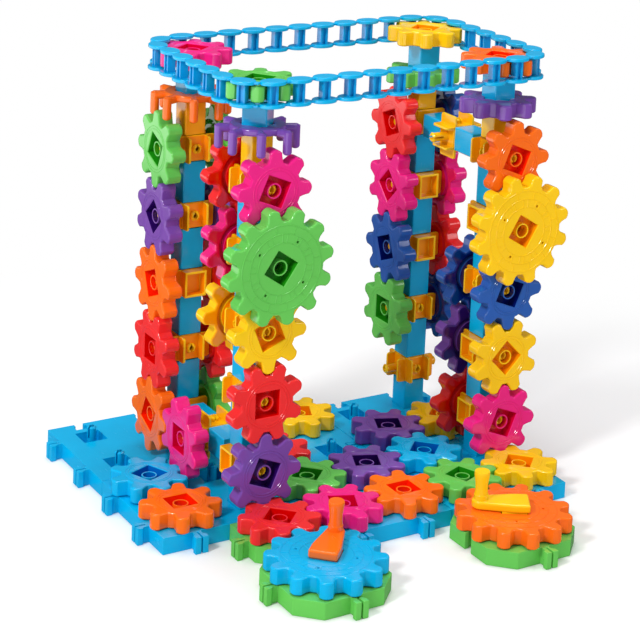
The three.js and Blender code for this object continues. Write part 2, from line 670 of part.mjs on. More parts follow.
function addFaceGear(key, side, level, colour) {
  const stacked = side === BIG_GEAR_SPOT.side && level === BIG_GEAR_SPOT.level;
  const holder = faceHolder(COLUMN_SHARES[key].cell, side, level);
  const geometry = stacked ? stackedGears() : gear(SMALL_TEETH);
  place(`gear_${key}_${side}_${level}`, geometry, colour, holder).rotation.z = phase(level % 2 === 0);
}

function addFaceGears() {
  for (const [key, sides] of Object.entries(FACE_GEARS)) {
    for (const [side, colours] of Object.entries(sides)) {
      colours.forEach((colour, k) => {
        if (colour) {
          addFaceGear(key, side, k + 1, colour);
        }
      });
    }
  }
  const bridgeHolder = faceHolder(BRIDGE_SHARES.left.cell, 'left', BRIDGE_SHARES.left.level);
  place('gear_beam_left', gear(SMALL_TEETH), 'magenta', bridgeHolder).rotation.z = phase(true);
}

function addCranks() {
  for (const [key, spot] of Object.entries(CRANK_SHARES)) {
    const crank = new THREE.Group();
    crank.position.set(spot.column * PITCH, -CRANK_DISTANCE, GEAR_BOTTOM);
    crank.rotation.z = spot.turnShare * toothStep(BIG_TEETH);
    toy.add(crank);
    place(`crank_gear_${key}`, gear(BIG_TEETH), spot.gear, crank);
    place(`crank_handle_${key}`, crankHandle(), spot.handle, crank).rotation.z = radians(spot.armTurn);
  }
}

addFrames();
addTops();
addBaseGears();
addFaceGears();
addCranks();

// The origin is under the middle of the whole toy, at the height of the surface that it rests on
const box = new THREE.Box3().setFromObject(toy, true);
const middle = box.getCenter(new THREE.Vector3());
toy.position.set(-middle.x, -middle.y, -box.min.z);

const crankGearToy = new THREE.Group();
crankGearToy.add(toy);

export default crankGearToy;
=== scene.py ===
"""Dresses the crank gear toy: glossy moulded gears, plates, columns, chain and cranks."""
import logging
import math
from contextlib import contextmanager
from dataclasses import dataclass, field
from enum import Enum
from typing import Callable, Iterator, Sequence

import bmesh
import bpy
from mathutils import Matrix, Vector


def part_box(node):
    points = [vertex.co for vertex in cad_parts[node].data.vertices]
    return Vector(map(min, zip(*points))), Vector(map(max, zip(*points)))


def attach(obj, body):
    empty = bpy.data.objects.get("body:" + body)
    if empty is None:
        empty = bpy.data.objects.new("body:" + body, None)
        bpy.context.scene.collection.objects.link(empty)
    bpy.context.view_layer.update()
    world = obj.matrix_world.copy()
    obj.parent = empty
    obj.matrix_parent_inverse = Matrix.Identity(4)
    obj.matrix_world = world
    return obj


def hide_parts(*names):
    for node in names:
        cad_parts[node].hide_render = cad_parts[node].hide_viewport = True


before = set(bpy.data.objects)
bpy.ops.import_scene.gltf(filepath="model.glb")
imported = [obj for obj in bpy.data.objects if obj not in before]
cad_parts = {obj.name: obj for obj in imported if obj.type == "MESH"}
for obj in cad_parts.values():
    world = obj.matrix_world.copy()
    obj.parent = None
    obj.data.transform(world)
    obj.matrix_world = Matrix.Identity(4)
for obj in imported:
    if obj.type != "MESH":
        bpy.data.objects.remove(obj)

logging.basicConfig(level=logging.INFO, format="%(message)s")
LOG = logging.getLogger("gear_toy")

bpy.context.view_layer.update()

Piece = bpy.types.Object
Socket = bpy.types.NodeSocket
Inputs = dict[str | int, object]
Pair = tuple[float, float]
Triple = tuple[float, float, float]
FaceTest = Callable[[Vector, Vector], bool]

MM = 0.001
QUARTER = math.pi / 2

# A quarter round in three steps, each with its share inward and its share outward
ROUND_STEPS = ((0.134, 0.5), (0.366, 0.366), (0.5, 0.134))

PLATE_THICKNESS = 11 * MM
PLATE_TOP = PLATE_THICKNESS
PLATE_FLOOR = 3 * MM
PLATE_SEAM = 0.4 * MM
PILLAR_SIDE = 16.4 * MM
SOCKET_SIDE = 17 * MM
FIT_GAP = 0.3 * MM
GEAR_THICKNESS = 10.6 * MM
GEAR_FLOOR = 3 * MM
GEAR_BOTTOM = PLATE_TOP + FIT_GAP
GEAR_SEAT = 15.3 * MM
STACK_GAP = 0.5 * MM
LOWEST_AXLE = PLATE_TOP + 29.8 * MM
BLOCK_HEIGHT = 17.5 * MM
CROWN_DROP = 11.6 * MM
OVERRUN = 1 * MM
WALL_AREA = 5 * MM * MM

LEVELS = 5
SMALL_TEETH = 8
BIG_TEETH = 12
TOOTH_STEP = 2 * math.pi / SMALL_TEETH
HALF_TOOTH = TOOTH_STEP / 2
CHAIN_SLIP = 0.18
CRANK_ROW = -1.25
NODELESS = {"gear_back_left_right_5": "gear_back_left_left_5"}


class Paint(Enum):
    """The moulded colours of the set: a name and an sRGB colour."""

    SKY = ("sky", (0, 178, 232))
    MAGENTA = ("magenta", (240, 32, 134))
    PURPLE = ("purple", (122, 74, 168))
    GREEN = ("green", (104, 200, 88))
    YELLOW = ("yellow", (255, 204, 16))
    ORANGE = ("orange", (255, 112, 20))
    RED = ("red", (242, 44, 46))
    BLUE = ("blue", (42, 92, 176))

    @property
    def slot(self) -> str:
        """The name of this colour."""
        return self.value[0]

    @property
    def rgb(self) -> tuple[int, int, int]:
        """The colour as it is seen, from 0 to 255."""
        return self.value[1]


def linear(channel: float) -> float:
    """Turns an sRGB channel from 0 to 255 into a linear one from 0 to 1."""
    share = channel / 255
    return share / 12.92 if share <= 0.04045 else ((share + 0.055) / 1.055) ** 2.4


# Modelling by hand


def deselect_all() -> None:
    """Leaves no object selected."""
    for item in list(bpy.context.selected_objects):
        item.select_set(False)


def take_up(piece: Piece) -> None:
    """Makes a piece the only selected object and the active one.

    Args:
        piece: The piece to work on.
    """
    deselect_all()
    piece.select_set(True)
    bpy.context.view_layer.objects.active = piece


@contextmanager
def editing(piece: Piece) -> Iterator[None]:
    """Opens a piece in edit mode with faces as the selection.

    Args:
        piece: The piece to edit.

    Yields:
        Nothing; the piece is open meanwhile.
    """
    take_up(piece)
    bpy.ops.object.mode_set(mode="EDIT")
    bpy.ops.mesh.select_mode(type="FACE")
    yield
    bpy.ops.object.mode_set(mode="OBJECT")


def pick_faces(piece: Piece, test: FaceTest) -> None:
    """Selects the faces that pass a test, by their middle and normal, and no others.

    Args:
        piece: The piece that is open in edit mode.
        test: Takes a face's middle and its normal.
    """
    bpy.ops.mesh.select_all(action="DESELECT")
    mesh = bmesh.from_edit_mesh(piece.data)
    for face in mesh.faces:
        face.select_set(test(face.calc_center_median(), face.normal))
    bmesh.update_edit_mesh(piece.data)


def extrude(step: Triple) -> None:
    """Extrudes the selected faces by a step along X, Y and Z."""
    bpy.ops.mesh.extrude_region_move(TRANSFORM_OT_translate={"value": step})


def stretch(factors: Triple, centre: Triple = (0, 0, 0)) -> None:
    """Scales the selection along X, Y and Z about a point that stays."""
    bpy.ops.transform.resize(value=factors, center_override=centre)


def settled() -> Piece:
    """Applies the active object's place to its mesh.

    Returns:
        The active object.
    """
    piece = bpy.context.active_object
    bpy.ops.object.transform_apply(location=True, rotation=True, scale=True)
    return piece


def cylinder(radius: float, bottom: float, top: float, sides: int = 32) -> Piece:
    """Adds an upright cylinder on the Z axis.

    Args:
        radius: Its radius.
        bottom: The height of its lower end.
        top: The height of its upper end.
        sides: How many sides it has.

    Returns:
        The cylinder, with its place in its mesh.
    """
    deselect_all()
    bpy.ops.mesh.primitive_cylinder_add(
        vertices=sides, radius=radius, depth=top - bottom, location=(0, 0, (bottom + top) / 2)
    )
    return settled()


def block(size: Triple, centre: Triple) -> Piece:
    """Adds a box.

    Args:
        size: Its width, depth and height.
        centre: Its middle.

    Returns:
        The box, with its place in its mesh.
    """
    deselect_all()
    bpy.ops.mesh.primitive_cube_add(size=1, location=centre, scale=size)
    return settled()


def ball(radius: float, centre: Triple) -> Piece:
    """Adds a sphere.

    Args:
        radius: Its radius.
        centre: Its middle.

    Returns:
        The sphere.
    """
    deselect_all()
    bpy.ops.mesh.primitive_uv_sphere_add(segments=24, ring_count=16, radius=radius, location=centre)
    return settled()


def torus(radius: float, thickness: float, height: float, steps: int = 72, sides: int = 6) -> Piece:
    """Adds a thin ring that lies flat.

    Args:
        radius: From the axis to the middle of the ring.
        thickness: The radius of its round section.
        height: The height of its middle.
        steps: How many steps it has round the axis.
        sides: How many sides its section has.

    Returns:
        The ring, with its place in its mesh.
    """
    deselect_all()
    bpy.ops.mesh.primitive_torus_add(
        major_radius=radius, minor_radius=thickness, major_segments=steps, minor_segments=sides,
        location=(0, 0, height),
    )
    return settled()


def use_modifier(piece: Piece, kind: str, **settings: object) -> None:
    """Adds a modifier to a piece and applies it.

    Args:
        piece: The piece.
        kind: The modifier's type.
        settings: Its settings by name.
    """
    take_up(piece)
    modifier = piece.modifiers.new(kind.lower(), kind)
    for name, value in settings.items():
        setattr(modifier, name, value)
    bpy.ops.object.modifier_apply(modifier=modifier.name)


def combine(piece: Piece, tool: Piece, operation: str = "DIFFERENCE") -> None:
    """Cuts a tool out of a piece, or joins it on, and removes the tool.

    Args:
        piece: The piece.
        tool: The tool's closed shape.
        operation: DIFFERENCE or UNION.
    """
    use_modifier(piece, "BOOLEAN", operation=operation, object=tool, solver="EXACT")
    bpy.data.objects.remove(tool)


def rounded(piece: Piece, width: float, segments: int = 2, angle: float = 30) -> None:
    """Rounds a piece's sharp edges.

    Args:
        piece: The piece.
        width: How wide the rounding is.
        segments: How many steps it has.
        angle: The least angle in degrees of an edge that is rounded.
    """
    least = math.radians(angle)
    use_modifier(piece, "BEVEL", width=width, segments=segments, limit_method="ANGLE", angle_limit=least)


def smooth(piece: Piece, angle: float = 40) -> None:
    """Shades a piece smooth, with flat faces kept flat and edges sharper than an angle kept sharp.

    Args:
        piece: The piece.
        angle: The angle in degrees.
    """
    take_up(piece)
    bpy.ops.object.shade_smooth_by_angle(angle=math.radians(angle))
    use_modifier(piece, "WEIGHTED_NORMAL", keep_sharp=True, weight=90)


def deepen(piece: Piece, test: FaceTest, amount: float = 1, least_area: float = 0) -> None:
    """Marks faces for painted shade, where light goes back and forth between faces: the finish paints their
    colour darker and richer.

    Args:
        piece: The piece.
        test: Takes a face's middle and its normal, and picks the face.
        amount: How strong the painted shade is, from 0 to 1.
        least_area: The area in square metres under which a face gets no painted shade.
    """
    marks = piece.data.attributes.get("deep") or piece.data.attributes.new("deep", "FLOAT", "FACE")
    for face in piece.data.polygons:
        if face.area > least_area and test(face.center, face.normal):
            marks.data[face.index].value = amount


def copied(master: Piece, matrix: Matrix, name: str = "part") -> Piece:
    """Copies a piece with a mesh of its own and moves the copy.

    Args:
        master: The piece to copy.
        matrix: How the copy is turned and moved.
        name: The copy's name.

    Returns:
        The copy.
    """
    piece = master.copy()
    piece.data = master.data.copy()
    piece.data.name = name
    bpy.context.scene.collection.objects.link(piece)
    return placed(piece, matrix, name)


def placed(piece: Piece, matrix: Matrix, name: str) -> Piece:
    """Moves a piece's mesh and names the piece.

    Args:
        piece: The piece.
        matrix: How it is turned and moved.
        name: Its name.

    Returns:
        The piece.
    """
    piece.data.transform(matrix)
    piece.name = name
    return piece


def merged(parts: Sequence[Piece], name: str) -> Piece:
    """Joins objects into one.

    Args:
        parts: The objects.
        name: The name of what they make.

    Returns:
        The joined object.
    """
    take_up(parts[0])
    for part in parts[1:]:
        part.select_set(True)
    bpy.ops.object.join()
    parts[0].name = name
    parts[0].data.name = name
    return parts[0]


def discard(*pieces: Piece) -> None:
    """Removes objects that aren't needed any more."""
    for piece in pieces:
        bpy.data.objects.remove(piece)


def turned(angle: float, axis: str = "Z") -> Matrix:
    """A turn in radians about an axis."""
    return Matrix.Rotation(angle, 4, axis)


def moved(x: float = 0, y: float = 0, z: float = 0, turn: float = 0) -> Matrix:
    """A turn in radians about Z and then a move."""
    return Matrix.Translation((x, y, z)) @ turned(turn)


# Finishes


@dataclass
class Graph:
    """A node tree that is built up node by node."""

    tree: bpy.types.NodeTree

    def feed(self, node: bpy.types.Node, inputs: Inputs) -> None:
        """Gives inputs of a node their constants and links.

        Args:
            node: The node.
            inputs: What each input gets: a constant, or the output of another node.
        """
        for name, value in inputs.items():
            if isinstance(value, Socket):
                self.tree.links.new(value, node.inputs[name])
            else:
                node.inputs[name].default_value = value

    def add(self, kind: str, inputs: Inputs | None = None, **settings: object) -> bpy.types.Node:
        """Adds a node.

        Args:
            kind: The node's type, without the word that they all begin with.
            inputs: What its inputs get.
            settings: The node's own settings by name.

        Returns:
            The node.
        """
        node = self.tree.nodes.new(f"ShaderNode{kind}")
        for name, value in settings.items():
            setattr(node, name, value)
        self.feed(node, inputs or {})
        return node

    def maths(self, kind: str, first: Socket, second: object) -> Socket:
        """Adds a sum or product of two values."""
        return self.add("Math", {0: first, 1: second}, operation=kind).outputs[0]

    def noise(self, place: Socket, scale: float, detail: float) -> Socket:
        """Adds a noise texture at a place."""
        return self.add("TexNoise", {"Vector": place, "Scale": scale, "Detail": detail}).outputs["Fac"]

    def smooth_step(self, value: Socket, limits: Pair, ends: Pair = (0, 1)) -> Socket:
        """Adds a smooth step.

        Args:
            value: What the step depends on.
            limits: The values at which it starts and ends.
            ends: What it gives there.

        Returns:
            The step's output.
        """
        inputs = dict(zip(("From Min", "From Max", "To Min", "To Max"), (*limits, *ends)))
        step = self.add("MapRange", {"Value": value, **inputs}, interpolation_type="SMOOTHSTEP")
        return step.outputs["Result"]

    def mixed(self, share: Socket, first: object, second: object) -> Socket:
        """Adds a mix of two shaders."""
        return self.add("MixShader", {"Fac": share, 1: first, 2: second}).outputs["Shader"]


def surface_group() -> bpy.types.NodeTree:
    """Builds the node group for moulded plastic, once.

    Returns:
        A group that gives a colour with slow flow variation and painted shade, darker and richer,
        on the marked faces; a roughness with faint handling marks; and the height of the mould's
        fine texture.
    """
    found = bpy.data.node_groups.get("moulded surface")
    if found:
        return found
    tree = bpy.data.node_groups.new("moulded surface", "ShaderNodeTree")
    for name, kind, way in (
        ("Colour", "Color", "INPUT"), ("Flow", "Float", "INPUT"), ("Polish", "Float", "INPUT"),
        ("Scuffs", "Float", "INPUT"), ("Colour", "Color", "OUTPUT"), ("Roughness", "Float", "OUTPUT"),
        ("Height", "Float", "OUTPUT"),
    ):
        tree.interface.new_socket(name=name, in_out=way, socket_type=f"NodeSocket{kind}")
    graph = Graph(tree)
    given = tree.nodes.new("NodeGroupInput").outputs
    place = graph.add("TexCoord").outputs["Object"]

    flow = graph.smooth_step(graph.noise(place, scale=26, detail=2), (0.3, 0.7))
    value = graph.maths("ADD", graph.maths("MULTIPLY", flow, given["Flow"]), 0.97)
    # Painted shade: faces marked for it take a darker, richer colour.
    deep = graph.add("Attribute", attribute_name="deep").outputs["Fac"]
    painted_shade_colour = graph.add("Gamma", {"Color": given["Colour"], "Gamma": 2.2}).outputs["Color"]
    colour_with_painted_shade = graph.add("Mix", {"Factor": deep, "A": given["Colour"], "B": painted_shade_colour}, data_type="RGBA")
    shade = graph.add("HueSaturation", {"Color": colour_with_painted_shade.outputs["Result"], "Value": value}).outputs["Color"]

    squeeze = graph.add("Mapping", {"Vector": place, "Scale": (1, 0.08, 0.3), "Rotation": (0.4, 0.2, 0.9)})
    marks = graph.smooth_step(graph.noise(squeeze.outputs["Vector"], scale=900, detail=3), (0.58, 0.74))
    patches = graph.smooth_step(graph.noise(place, scale=60, detail=3), (0.42, 0.72))
    scuffed = graph.maths("MULTIPLY", graph.maths("MULTIPLY", marks, patches), given["Scuffs"])
    cloudy = graph.maths("MULTIPLY", patches, 0.05)
    rough = graph.maths("ADD", graph.maths("ADD", scuffed, cloudy), given["Polish"])

    grain = graph.maths("MULTIPLY", graph.noise(place, scale=2600, detail=2), 0.25)
    ripple = graph.noise(place, scale=150, detail=1)
    height = graph.maths("ADD", graph.maths("ADD", grain, ripple), scuffed)
    graph.feed(tree.nodes.new("NodeGroupOutput"), {"Colour": shade, "Roughness": rough, "Height": height})
    return tree


@dataclass(frozen=True)
class Plastic:
    """A glossy moulded plastic in one colour."""

    paint: Paint
    polish: float = 0.16
    flow: float = 0.07
    scuffs: float = 0.16
    relief: float = 0.03 * MM
    relief_strength: float = 0.35
    refraction: float = 1.5
    shine: float = 0.4
    gloss: float = 0.3
    gloss_blur: float = 0.05

    def material(self) -> bpy.types.Material:
        """Builds the finish, once.

        Returns:
            The material.
        """
        name = f"{self.paint.slot} plastic"
        found = bpy.data.materials.get(name)
        if found:
            return found
        made = bpy.data.materials.new(name)
        made.use_nodes = True
        graph = Graph(made.node_tree)
        colour = (*map(linear, self.paint.rgb), 1)
        made.diffuse_color = colour
        given = {"Colour": colour, "Flow": self.flow, "Polish": self.polish, "Scuffs": self.scuffs}
        surface = graph.add("Group", given, node_tree=surface_group()).outputs
        relief = {"Strength": self.relief_strength, "Distance": self.relief, "Height": surface["Height"]}
        graph.feed(made.node_tree.nodes["Principled BSDF"], {
            "Base Color": surface["Colour"],
            "Roughness": surface["Roughness"],
            "Normal": graph.add("Bump", relief).outputs["Normal"],
            "IOR": self.refraction,
            "Specular IOR Level": self.shine,
            "Coat Weight": self.gloss,
            "Coat Roughness": self.gloss_blur,
        })
        return made


def dress(piece: Piece, paint: Paint, body: str, node: str | None = None) -> None:
    """Gives a piece its finish, the body that it rides on and the CAD node that it stands for.

    Args:
        piece: The piece.
        paint: Its colour.
        body: The body that carries it.
        node: The CAD node that it stands for, if there is one.
    """
    piece.data.materials.clear()
    piece.data.materials.append(Plastic(paint).material())
    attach(piece, body)
    if node:
        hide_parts(node)
    LOG.info("made %s in %s, riding on %s", piece.name, paint.slot, body)


# The peg grid


@dataclass
class Grid:
    """The square grid of pegs, found from the columns, which stand on known pegs."""

    pitch: float = field(init=False)
    origin: Vector = field(init=False)

    def __post_init__(self) -> None:
        """Measures the grid on two columns that stand four pegs apart."""
        left, right = self.middle("top_front_left"), self.middle("top_front_right")
        self.pitch = (right.x - left.x) / 4
        self.origin = Vector((left.x + self.pitch, left.y - self.pitch, 0))

    @staticmethod
    def middle(node: str) -> Vector:
        """The middle of a CAD node's box."""
        low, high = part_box(node)
        return (low + high) / 2

    def point(self, column: float, row: float, height: float = 0) -> Vector:
        """The point at a column, row and height, in metres."""
        return self.origin + Vector((column * self.pitch, row * self.pitch, height))

    def at(self, column: float, row: float, height: float = 0, turn: float = 0) -> Matrix:
        """Takes a shape from the origin to a column, row and height, turned about Z."""
        return moved(*self.point(column, row, height), turn)

    def axle(self, level: int) -> float:
        """The height of the axles of a level, counted from the top."""
        return LOWEST_AXLE + self.pitch * (LEVELS - level)


class Side(Enum):
    """The four sides of a column, with the angle of the way out."""

    RIGHT = 0.0
    BACK = QUARTER
    LEFT = 2 * QUARTER
    FRONT = -QUARTER

    def outward(self) -> Matrix:
        """Turns a shape that points up so that it points out of this side."""
        return turned(self.value) @ turned(QUARTER, "Y")


OPPOSITE = {Side.RIGHT: Side.LEFT, Side.LEFT: Side.RIGHT, Side.FRONT: Side.BACK, Side.BACK: Side.FRONT}


# Gears


@dataclass
class GearMould:
    """The mould of a gear: it lies on its back, with its socket upwards and a tooth along X."""

    teeth: int
    root: float
    tip: float
    ring_radii: tuple[float, ...]
    steps_per_tooth: int = 8
    tooth_steps: int = 6
    foot_share: float = 0.16
    waist_share: float = 0.45
    foot_half: float = 4.8 * MM
    waist_half: float = 4.35 * MM
    shoulder_half: float = 4.1 * MM
    foot_bulge: float = 0.3 * MM
    waist_bulge: float = 0.5 * MM
    tip_bulge: float = 2.1 * MM
    rounding: float = 1.25 * MM
    mouth: float = 0.5 * MM
    hub_radius: float = 5.1 * MM
    hub_bore: float = 4.1 * MM
    hub_top: float = 9 * MM
    hub_rounding: float = 0.35 * MM
    back_bore: float = 3.6 * MM
    # Strength of the painted shade on faces that look down.
    back_depth: float = 0.7
    groove_rim: float = 2.4 * MM
    groove_inner: float = 12.8 * MM
    groove_depth: float = 4 * MM
    ring_thickness: float = 0.27 * MM

    def _half_angle(self) -> float:
        """Half the angle that a tooth takes up at its root."""
        return 2 * math.pi / (self.teeth * self.steps_per_tooth) * self.tooth_steps / 2

    def _on_flank(self, spot: Vector, normal: Vector) -> bool:
        """Whether a face is one of those from which the tooth along X grows."""
        return abs(normal.z) < 0.5 and spot.x > 0 and abs(math.atan2(spot.y, spot.x)) < self._half_angle()

    def _raise_tooth(self, piece: Piece) -> None:
        """Extrudes one tooth along X in three steps, with a bulging tip."""
        edge, middle = self.root * math.cos(self._half_angle()), self.root
        half = self.root * math.sin(self._half_angle())
        depth = self.tip - self.root
        foot, waist = self.root + depth * self.foot_share, self.root + depth * self.waist_share
        pick_faces(piece, self._on_flank)
        for new_edge, new_middle, new_half in (
            (foot, foot + self.foot_bulge, self.foot_half),
            (waist, waist + self.waist_bulge, self.waist_half),
            (self.tip - self.tip_bulge, self.tip, self.shoulder_half),
        ):
            extrude((new_edge - edge, 0, 0))
            bend = (new_middle - new_edge) / (middle - edge)
            stretch((bend, new_half / half, 1), (new_edge, 0, GEAR_THICKNESS / 2))
            edge, middle, half = new_edge, new_middle, new_half

    def blank(self) -> Piece:
        """Models the toothed wheel without its socket.

        Returns:
            The wheel, with round rims.
        """
        sides = self.teeth * self.steps_per_tooth
        piece = cylinder(self.root, self.rounding, GEAR_THICKNESS - self.rounding, sides)
        step = 2 * math.pi / self.teeth
        with editing(piece):
            for _ in range(self.teeth):
                self._raise_tooth(piece)
                bpy.ops.mesh.select_all(action="SELECT")
                bpy.ops.transform.rotate(value=step, orient_axis="Z", center_override=(0, 0, 0))
            for up in (1, -1):
                pick_faces(piece, lambda spot, normal: up * normal.z > 0.9)
                bpy.ops.mesh.dissolve_faces()
                for inward, outward in ROUND_STEPS:
                    bpy.ops.mesh.inset(thickness=inward * self.rounding, depth=outward * self.rounding)
        return piece

    def _socket(self) -> Piece:
        """Models the square socket's cutter, with a flared mouth."""
        depth = GEAR_THICKNESS - GEAR_FLOOR - self.mouth
        cutter = block((SOCKET_SIDE, SOCKET_SIDE, depth), (0, 0, GEAR_FLOOR + depth / 2))
        flare = 1 + 2 * self.mouth / SOCKET_SIDE
        with editing(cutter):
            pick_faces(cutter, lambda spot, normal: normal.z > 0.5)
            extrude((0, 0, self.mouth))
            stretch((flare, flare, 1))
            extrude((0, 0, OVERRUN))
        cutter.data.transform(turned(self._socket_turn()))
        return cutter

    def _socket_turn(self) -> float:
        """The turn of the square socket: corners at gaps on a small gear, at teeth on a big one."""
        return HALF_TOOTH if self.teeth == SMALL_TEETH else QUARTER / 2

    def model(self) -> Piece:
        """Models the whole gear.

        Returns:
            The gear, with its socket, hub ring and raised rings.
        """
        piece = self.blank()
        bore = cylinder(self.back_bore, -OVERRUN, GEAR_THICKNESS)
        for tool in (self._socket(), bore, self._back_groove()):
            combine(piece, tool)
        whole = merged([piece, self._hub(), *self._details()], f"gear_{self.teeth}")
        smooth(whole, 34)
        # Painted shade in the socket, and weaker painted shade on faces that look down.
        deepen(whole, self._in_socket)
        deepen(whole, self._on_back, self.back_depth)
        return whole

    def _in_socket(self, spot: Vector, normal: Vector) -> bool:
        """Whether a face is in the socket, where light goes back and forth and painted shade goes, but not
        on the hub's outside.
        """
        radius = spot.xy.length
        on_hub = self.hub_bore + 0.3 * MM < radius < self.hub_radius + 0.1 * MM and abs(normal.z) < 0.5
        return radius < SOCKET_SIDE * 0.73 and spot.z < self.hub_top - 0.5 * MM and not on_hub

    def _on_back(self, spot: Vector, normal: Vector) -> bool:
        """Whether a face looks down, from the gear's back or from above its socket's floor."""
        return normal.z < -0.5 and not self._in_socket(spot, normal)

    def _back_groove(self) -> Piece:
        """The ring-shaped hollow in the gear's back."""
        ring = cylinder(self.root - self.groove_rim, -OVERRUN, self.groove_depth, 48)
        combine(ring, cylinder(self.groove_inner, -2 * OVERRUN, self.groove_depth + OVERRUN, 48))
        return ring

    def _hub(self) -> Piece:
        """The thin ring that stands in the socket round the peg."""
        ring = cylinder(self.hub_radius, GEAR_FLOOR - OVERRUN, self.hub_top, 40)
        combine(ring, cylinder(self.hub_bore, 0, GEAR_THICKNESS, 40))
        rounded(ring, self.hub_rounding)
        return ring

    def _details(self) -> list[Piece]:
        """The thin raised rings round the socket."""
        return [torus(radius, self.ring_thickness, GEAR_THICKNESS) for radius in self.ring_radii]


@dataclass
class BigGearMould(GearMould):
    """The twelve-toothed gear, whose face also has short spokes and four small holes."""

    spokes: int = 36
    spoke_width: float = 0.5 * MM
    spoke_sink: float = 0.05 * MM
    holes: int = 4
    hole_place: float = 19 * MM
    hole_radius: float = 0.9 * MM
    hole_depth: float = 3 * MM

    def _details(self) -> list[Piece]:
        """The raised rings and the short spokes between them."""
        found = super()._details()
        inner, middle, outer = self.ring_radii
        width, height = self.spoke_width, GEAR_THICKNESS - self.spoke_sink
        for index in range(self.spokes):
            start, end = (middle, outer) if index % 3 == 0 else (inner, middle)
            spoke = block((end - start, width, width), ((start + end) / 2, 0, height))
            rounded(spoke, width / 4, 1)
            spoke.data.transform(turned(2 * math.pi * index / self.spokes))
            found.append(spoke)
        return found

    def blank(self) -> Piece:
        """Models the wheel and bores its four small holes."""
        piece = super().blank()
        bottom, top = GEAR_THICKNESS - self.hole_depth, GEAR_THICKNESS + OVERRUN
        for turn in range(self.holes):
            angle = QUARTER * turn + QUARTER / 2
            hole = cylinder(self.hole_radius, bottom, top, 12)
            hole.data.transform(moved(self.hole_place * math.cos(angle), self.hole_place * math.sin(angle)))
            combine(piece, hole)
        return piece


# Pegs, axle blocks and pillars


@dataclass
class PegMould:
    """A split peg: a short tube, slit across, with a lip at its end."""

    radius: float = 3.1 * MM
    bore: float = 1.7 * MM
    slit: float = 1.3 * MM
    lip: float = 0.35 * MM
    lip_height: float = 1.6 * MM
    lip_swell: float = 0.35
    lip_taper: float = 0.65
    slit_depth: float = 9 * MM

    def model(self, bottom: float, top: float) -> Piece:
        """Models an upright peg on the Z axis.

        Args:
            bottom: The height of its foot.
            top: The height of its end.

        Returns:
            The peg.
        """
        grown = (self.radius + self.lip) / self.radius
        shrunk = (self.radius - 2 * self.lip) / (self.radius + self.lip)
        piece = cylinder(self.radius, bottom, top - self.lip_height, 24)
        with editing(piece):
            pick_faces(piece, lambda spot, normal: normal.z > 0.5)
            for share, factor in ((self.lip_swell, grown), (self.lip_taper, shrunk)):
                extrude((0, 0, self.lip_height * share))
                stretch((factor, factor, 1), (0, 0, top))
        depth = min(top - bottom - OVERRUN, self.slit_depth)
        combine(piece, cylinder(self.bore, top - depth, top + OVERRUN, 16))
        combine(piece, block((4 * self.radius, self.slit, depth), (0, 0, top - depth / 2 + OVERRUN / 2)))
        smooth(piece)
        return piece


class Arm(Enum):
    """What an axle block has on a side."""

    TUBE = "a square tube with an open end"
    WINGS = "two upright plates with a short stub between them"
    PEG = "two upright plates with a long split peg between them"
    NONE = "nothing, where a pillar is plugged in"


@dataclass
class AxleMould:
    """An axle block: a cube with an arm on each of its four sides."""

    reach: float = 15 * MM
    wall: float = 1.6 * MM
    width: float = 15.8 * MM
    hollow: float = 6.2 * MM
    hollow_taper: float = 0.3 * MM
    peg_reach: float = 21.4 * MM
    stub_reach: float = 11.6 * MM
    core: float = 17.1 * MM
    core_rounding: float = 0.45 * MM
    corner: float = 2 * MM
    corner_steps: tuple[Pair, ...] = ((0.5, 0.969), (0.366, 0.914), (0.134, 0.871))
    rounding: float = 0.35 * MM
    bright_rim: float = 0.5 * MM

    def _tube(self) -> list[Piece]:
        """A square tube along X with a hollow end."""
        arm = block((self.reach, self.width, BLOCK_HEIGHT), (self.reach / 2, 0, 0))
        with editing(arm):
            pick_faces(arm, lambda spot, normal: normal.x > 0.5)
            bpy.ops.mesh.inset(thickness=self.wall, depth=0)
            bpy.ops.mesh.inset(thickness=self.hollow_taper, depth=-self.hollow)
        rounded(arm, self.rounding, angle=40)
        return [arm]

    def _wings(self, peg_end: float) -> list[Piece]:
        """Two upright plates along X, with a peg between them that ends at a distance."""
        aside = (self.width - self.wall) / 2
        straight = self.reach - self.corner
        size = (straight, self.wall, BLOCK_HEIGHT)
        found = [block(size, (straight / 2, sign * aside, 0)) for sign in (-1, 1)]
        for plate in found:
            with editing(plate):
                pick_faces(plate, lambda spot, normal: normal.x > 0.5)
                for ahead, share in self.corner_steps:
                    extrude((ahead * self.corner, 0, 0))
                    stretch((1, 1, share))
            rounded(plate, self.rounding, angle=60)
        peg = PegMould().model(self.core / 2 - OVERRUN, peg_end)
        peg.data.transform(turned(QUARTER, "Y"))
        return [*found, peg]

    def _arm(self, kind: Arm) -> list[Piece]:
        """The parts of an arm along X."""
        if kind == Arm.NONE:
            return []
        if kind == Arm.TUBE:
            return self._tube()
        return self._wings(self.peg_reach if kind == Arm.PEG else self.stub_reach)

    def model(self, arms: dict[Side, Arm], depth: float) -> Piece:
        """Models an axle block round the origin.

        Args:
            arms: What each side has.
            depth: How strong the painted shade on its walls is, from 0 to 1.

        Returns:
            The block.
        """
        piece = block((self.core, self.core, BLOCK_HEIGHT - 2 * FIT_GAP), (0, 0, 0))
        rounded(piece, self.core_rounding)
        parts = [piece]
        for side, kind in arms.items():
            for part in self._arm(kind):
                part.data.transform(turned(side.value))
                parts.append(part)
        whole = merged(parts, "axle_block")
        smooth(whole)
        # Painted shade on the walls, but not near the arms' ends and not on small faces.
        rim = self.reach - self.bright_rim
        deepen(whole, lambda spot, normal: max(abs(spot.x), abs(spot.y)) < rim, depth, WALL_AREA)
        return whole


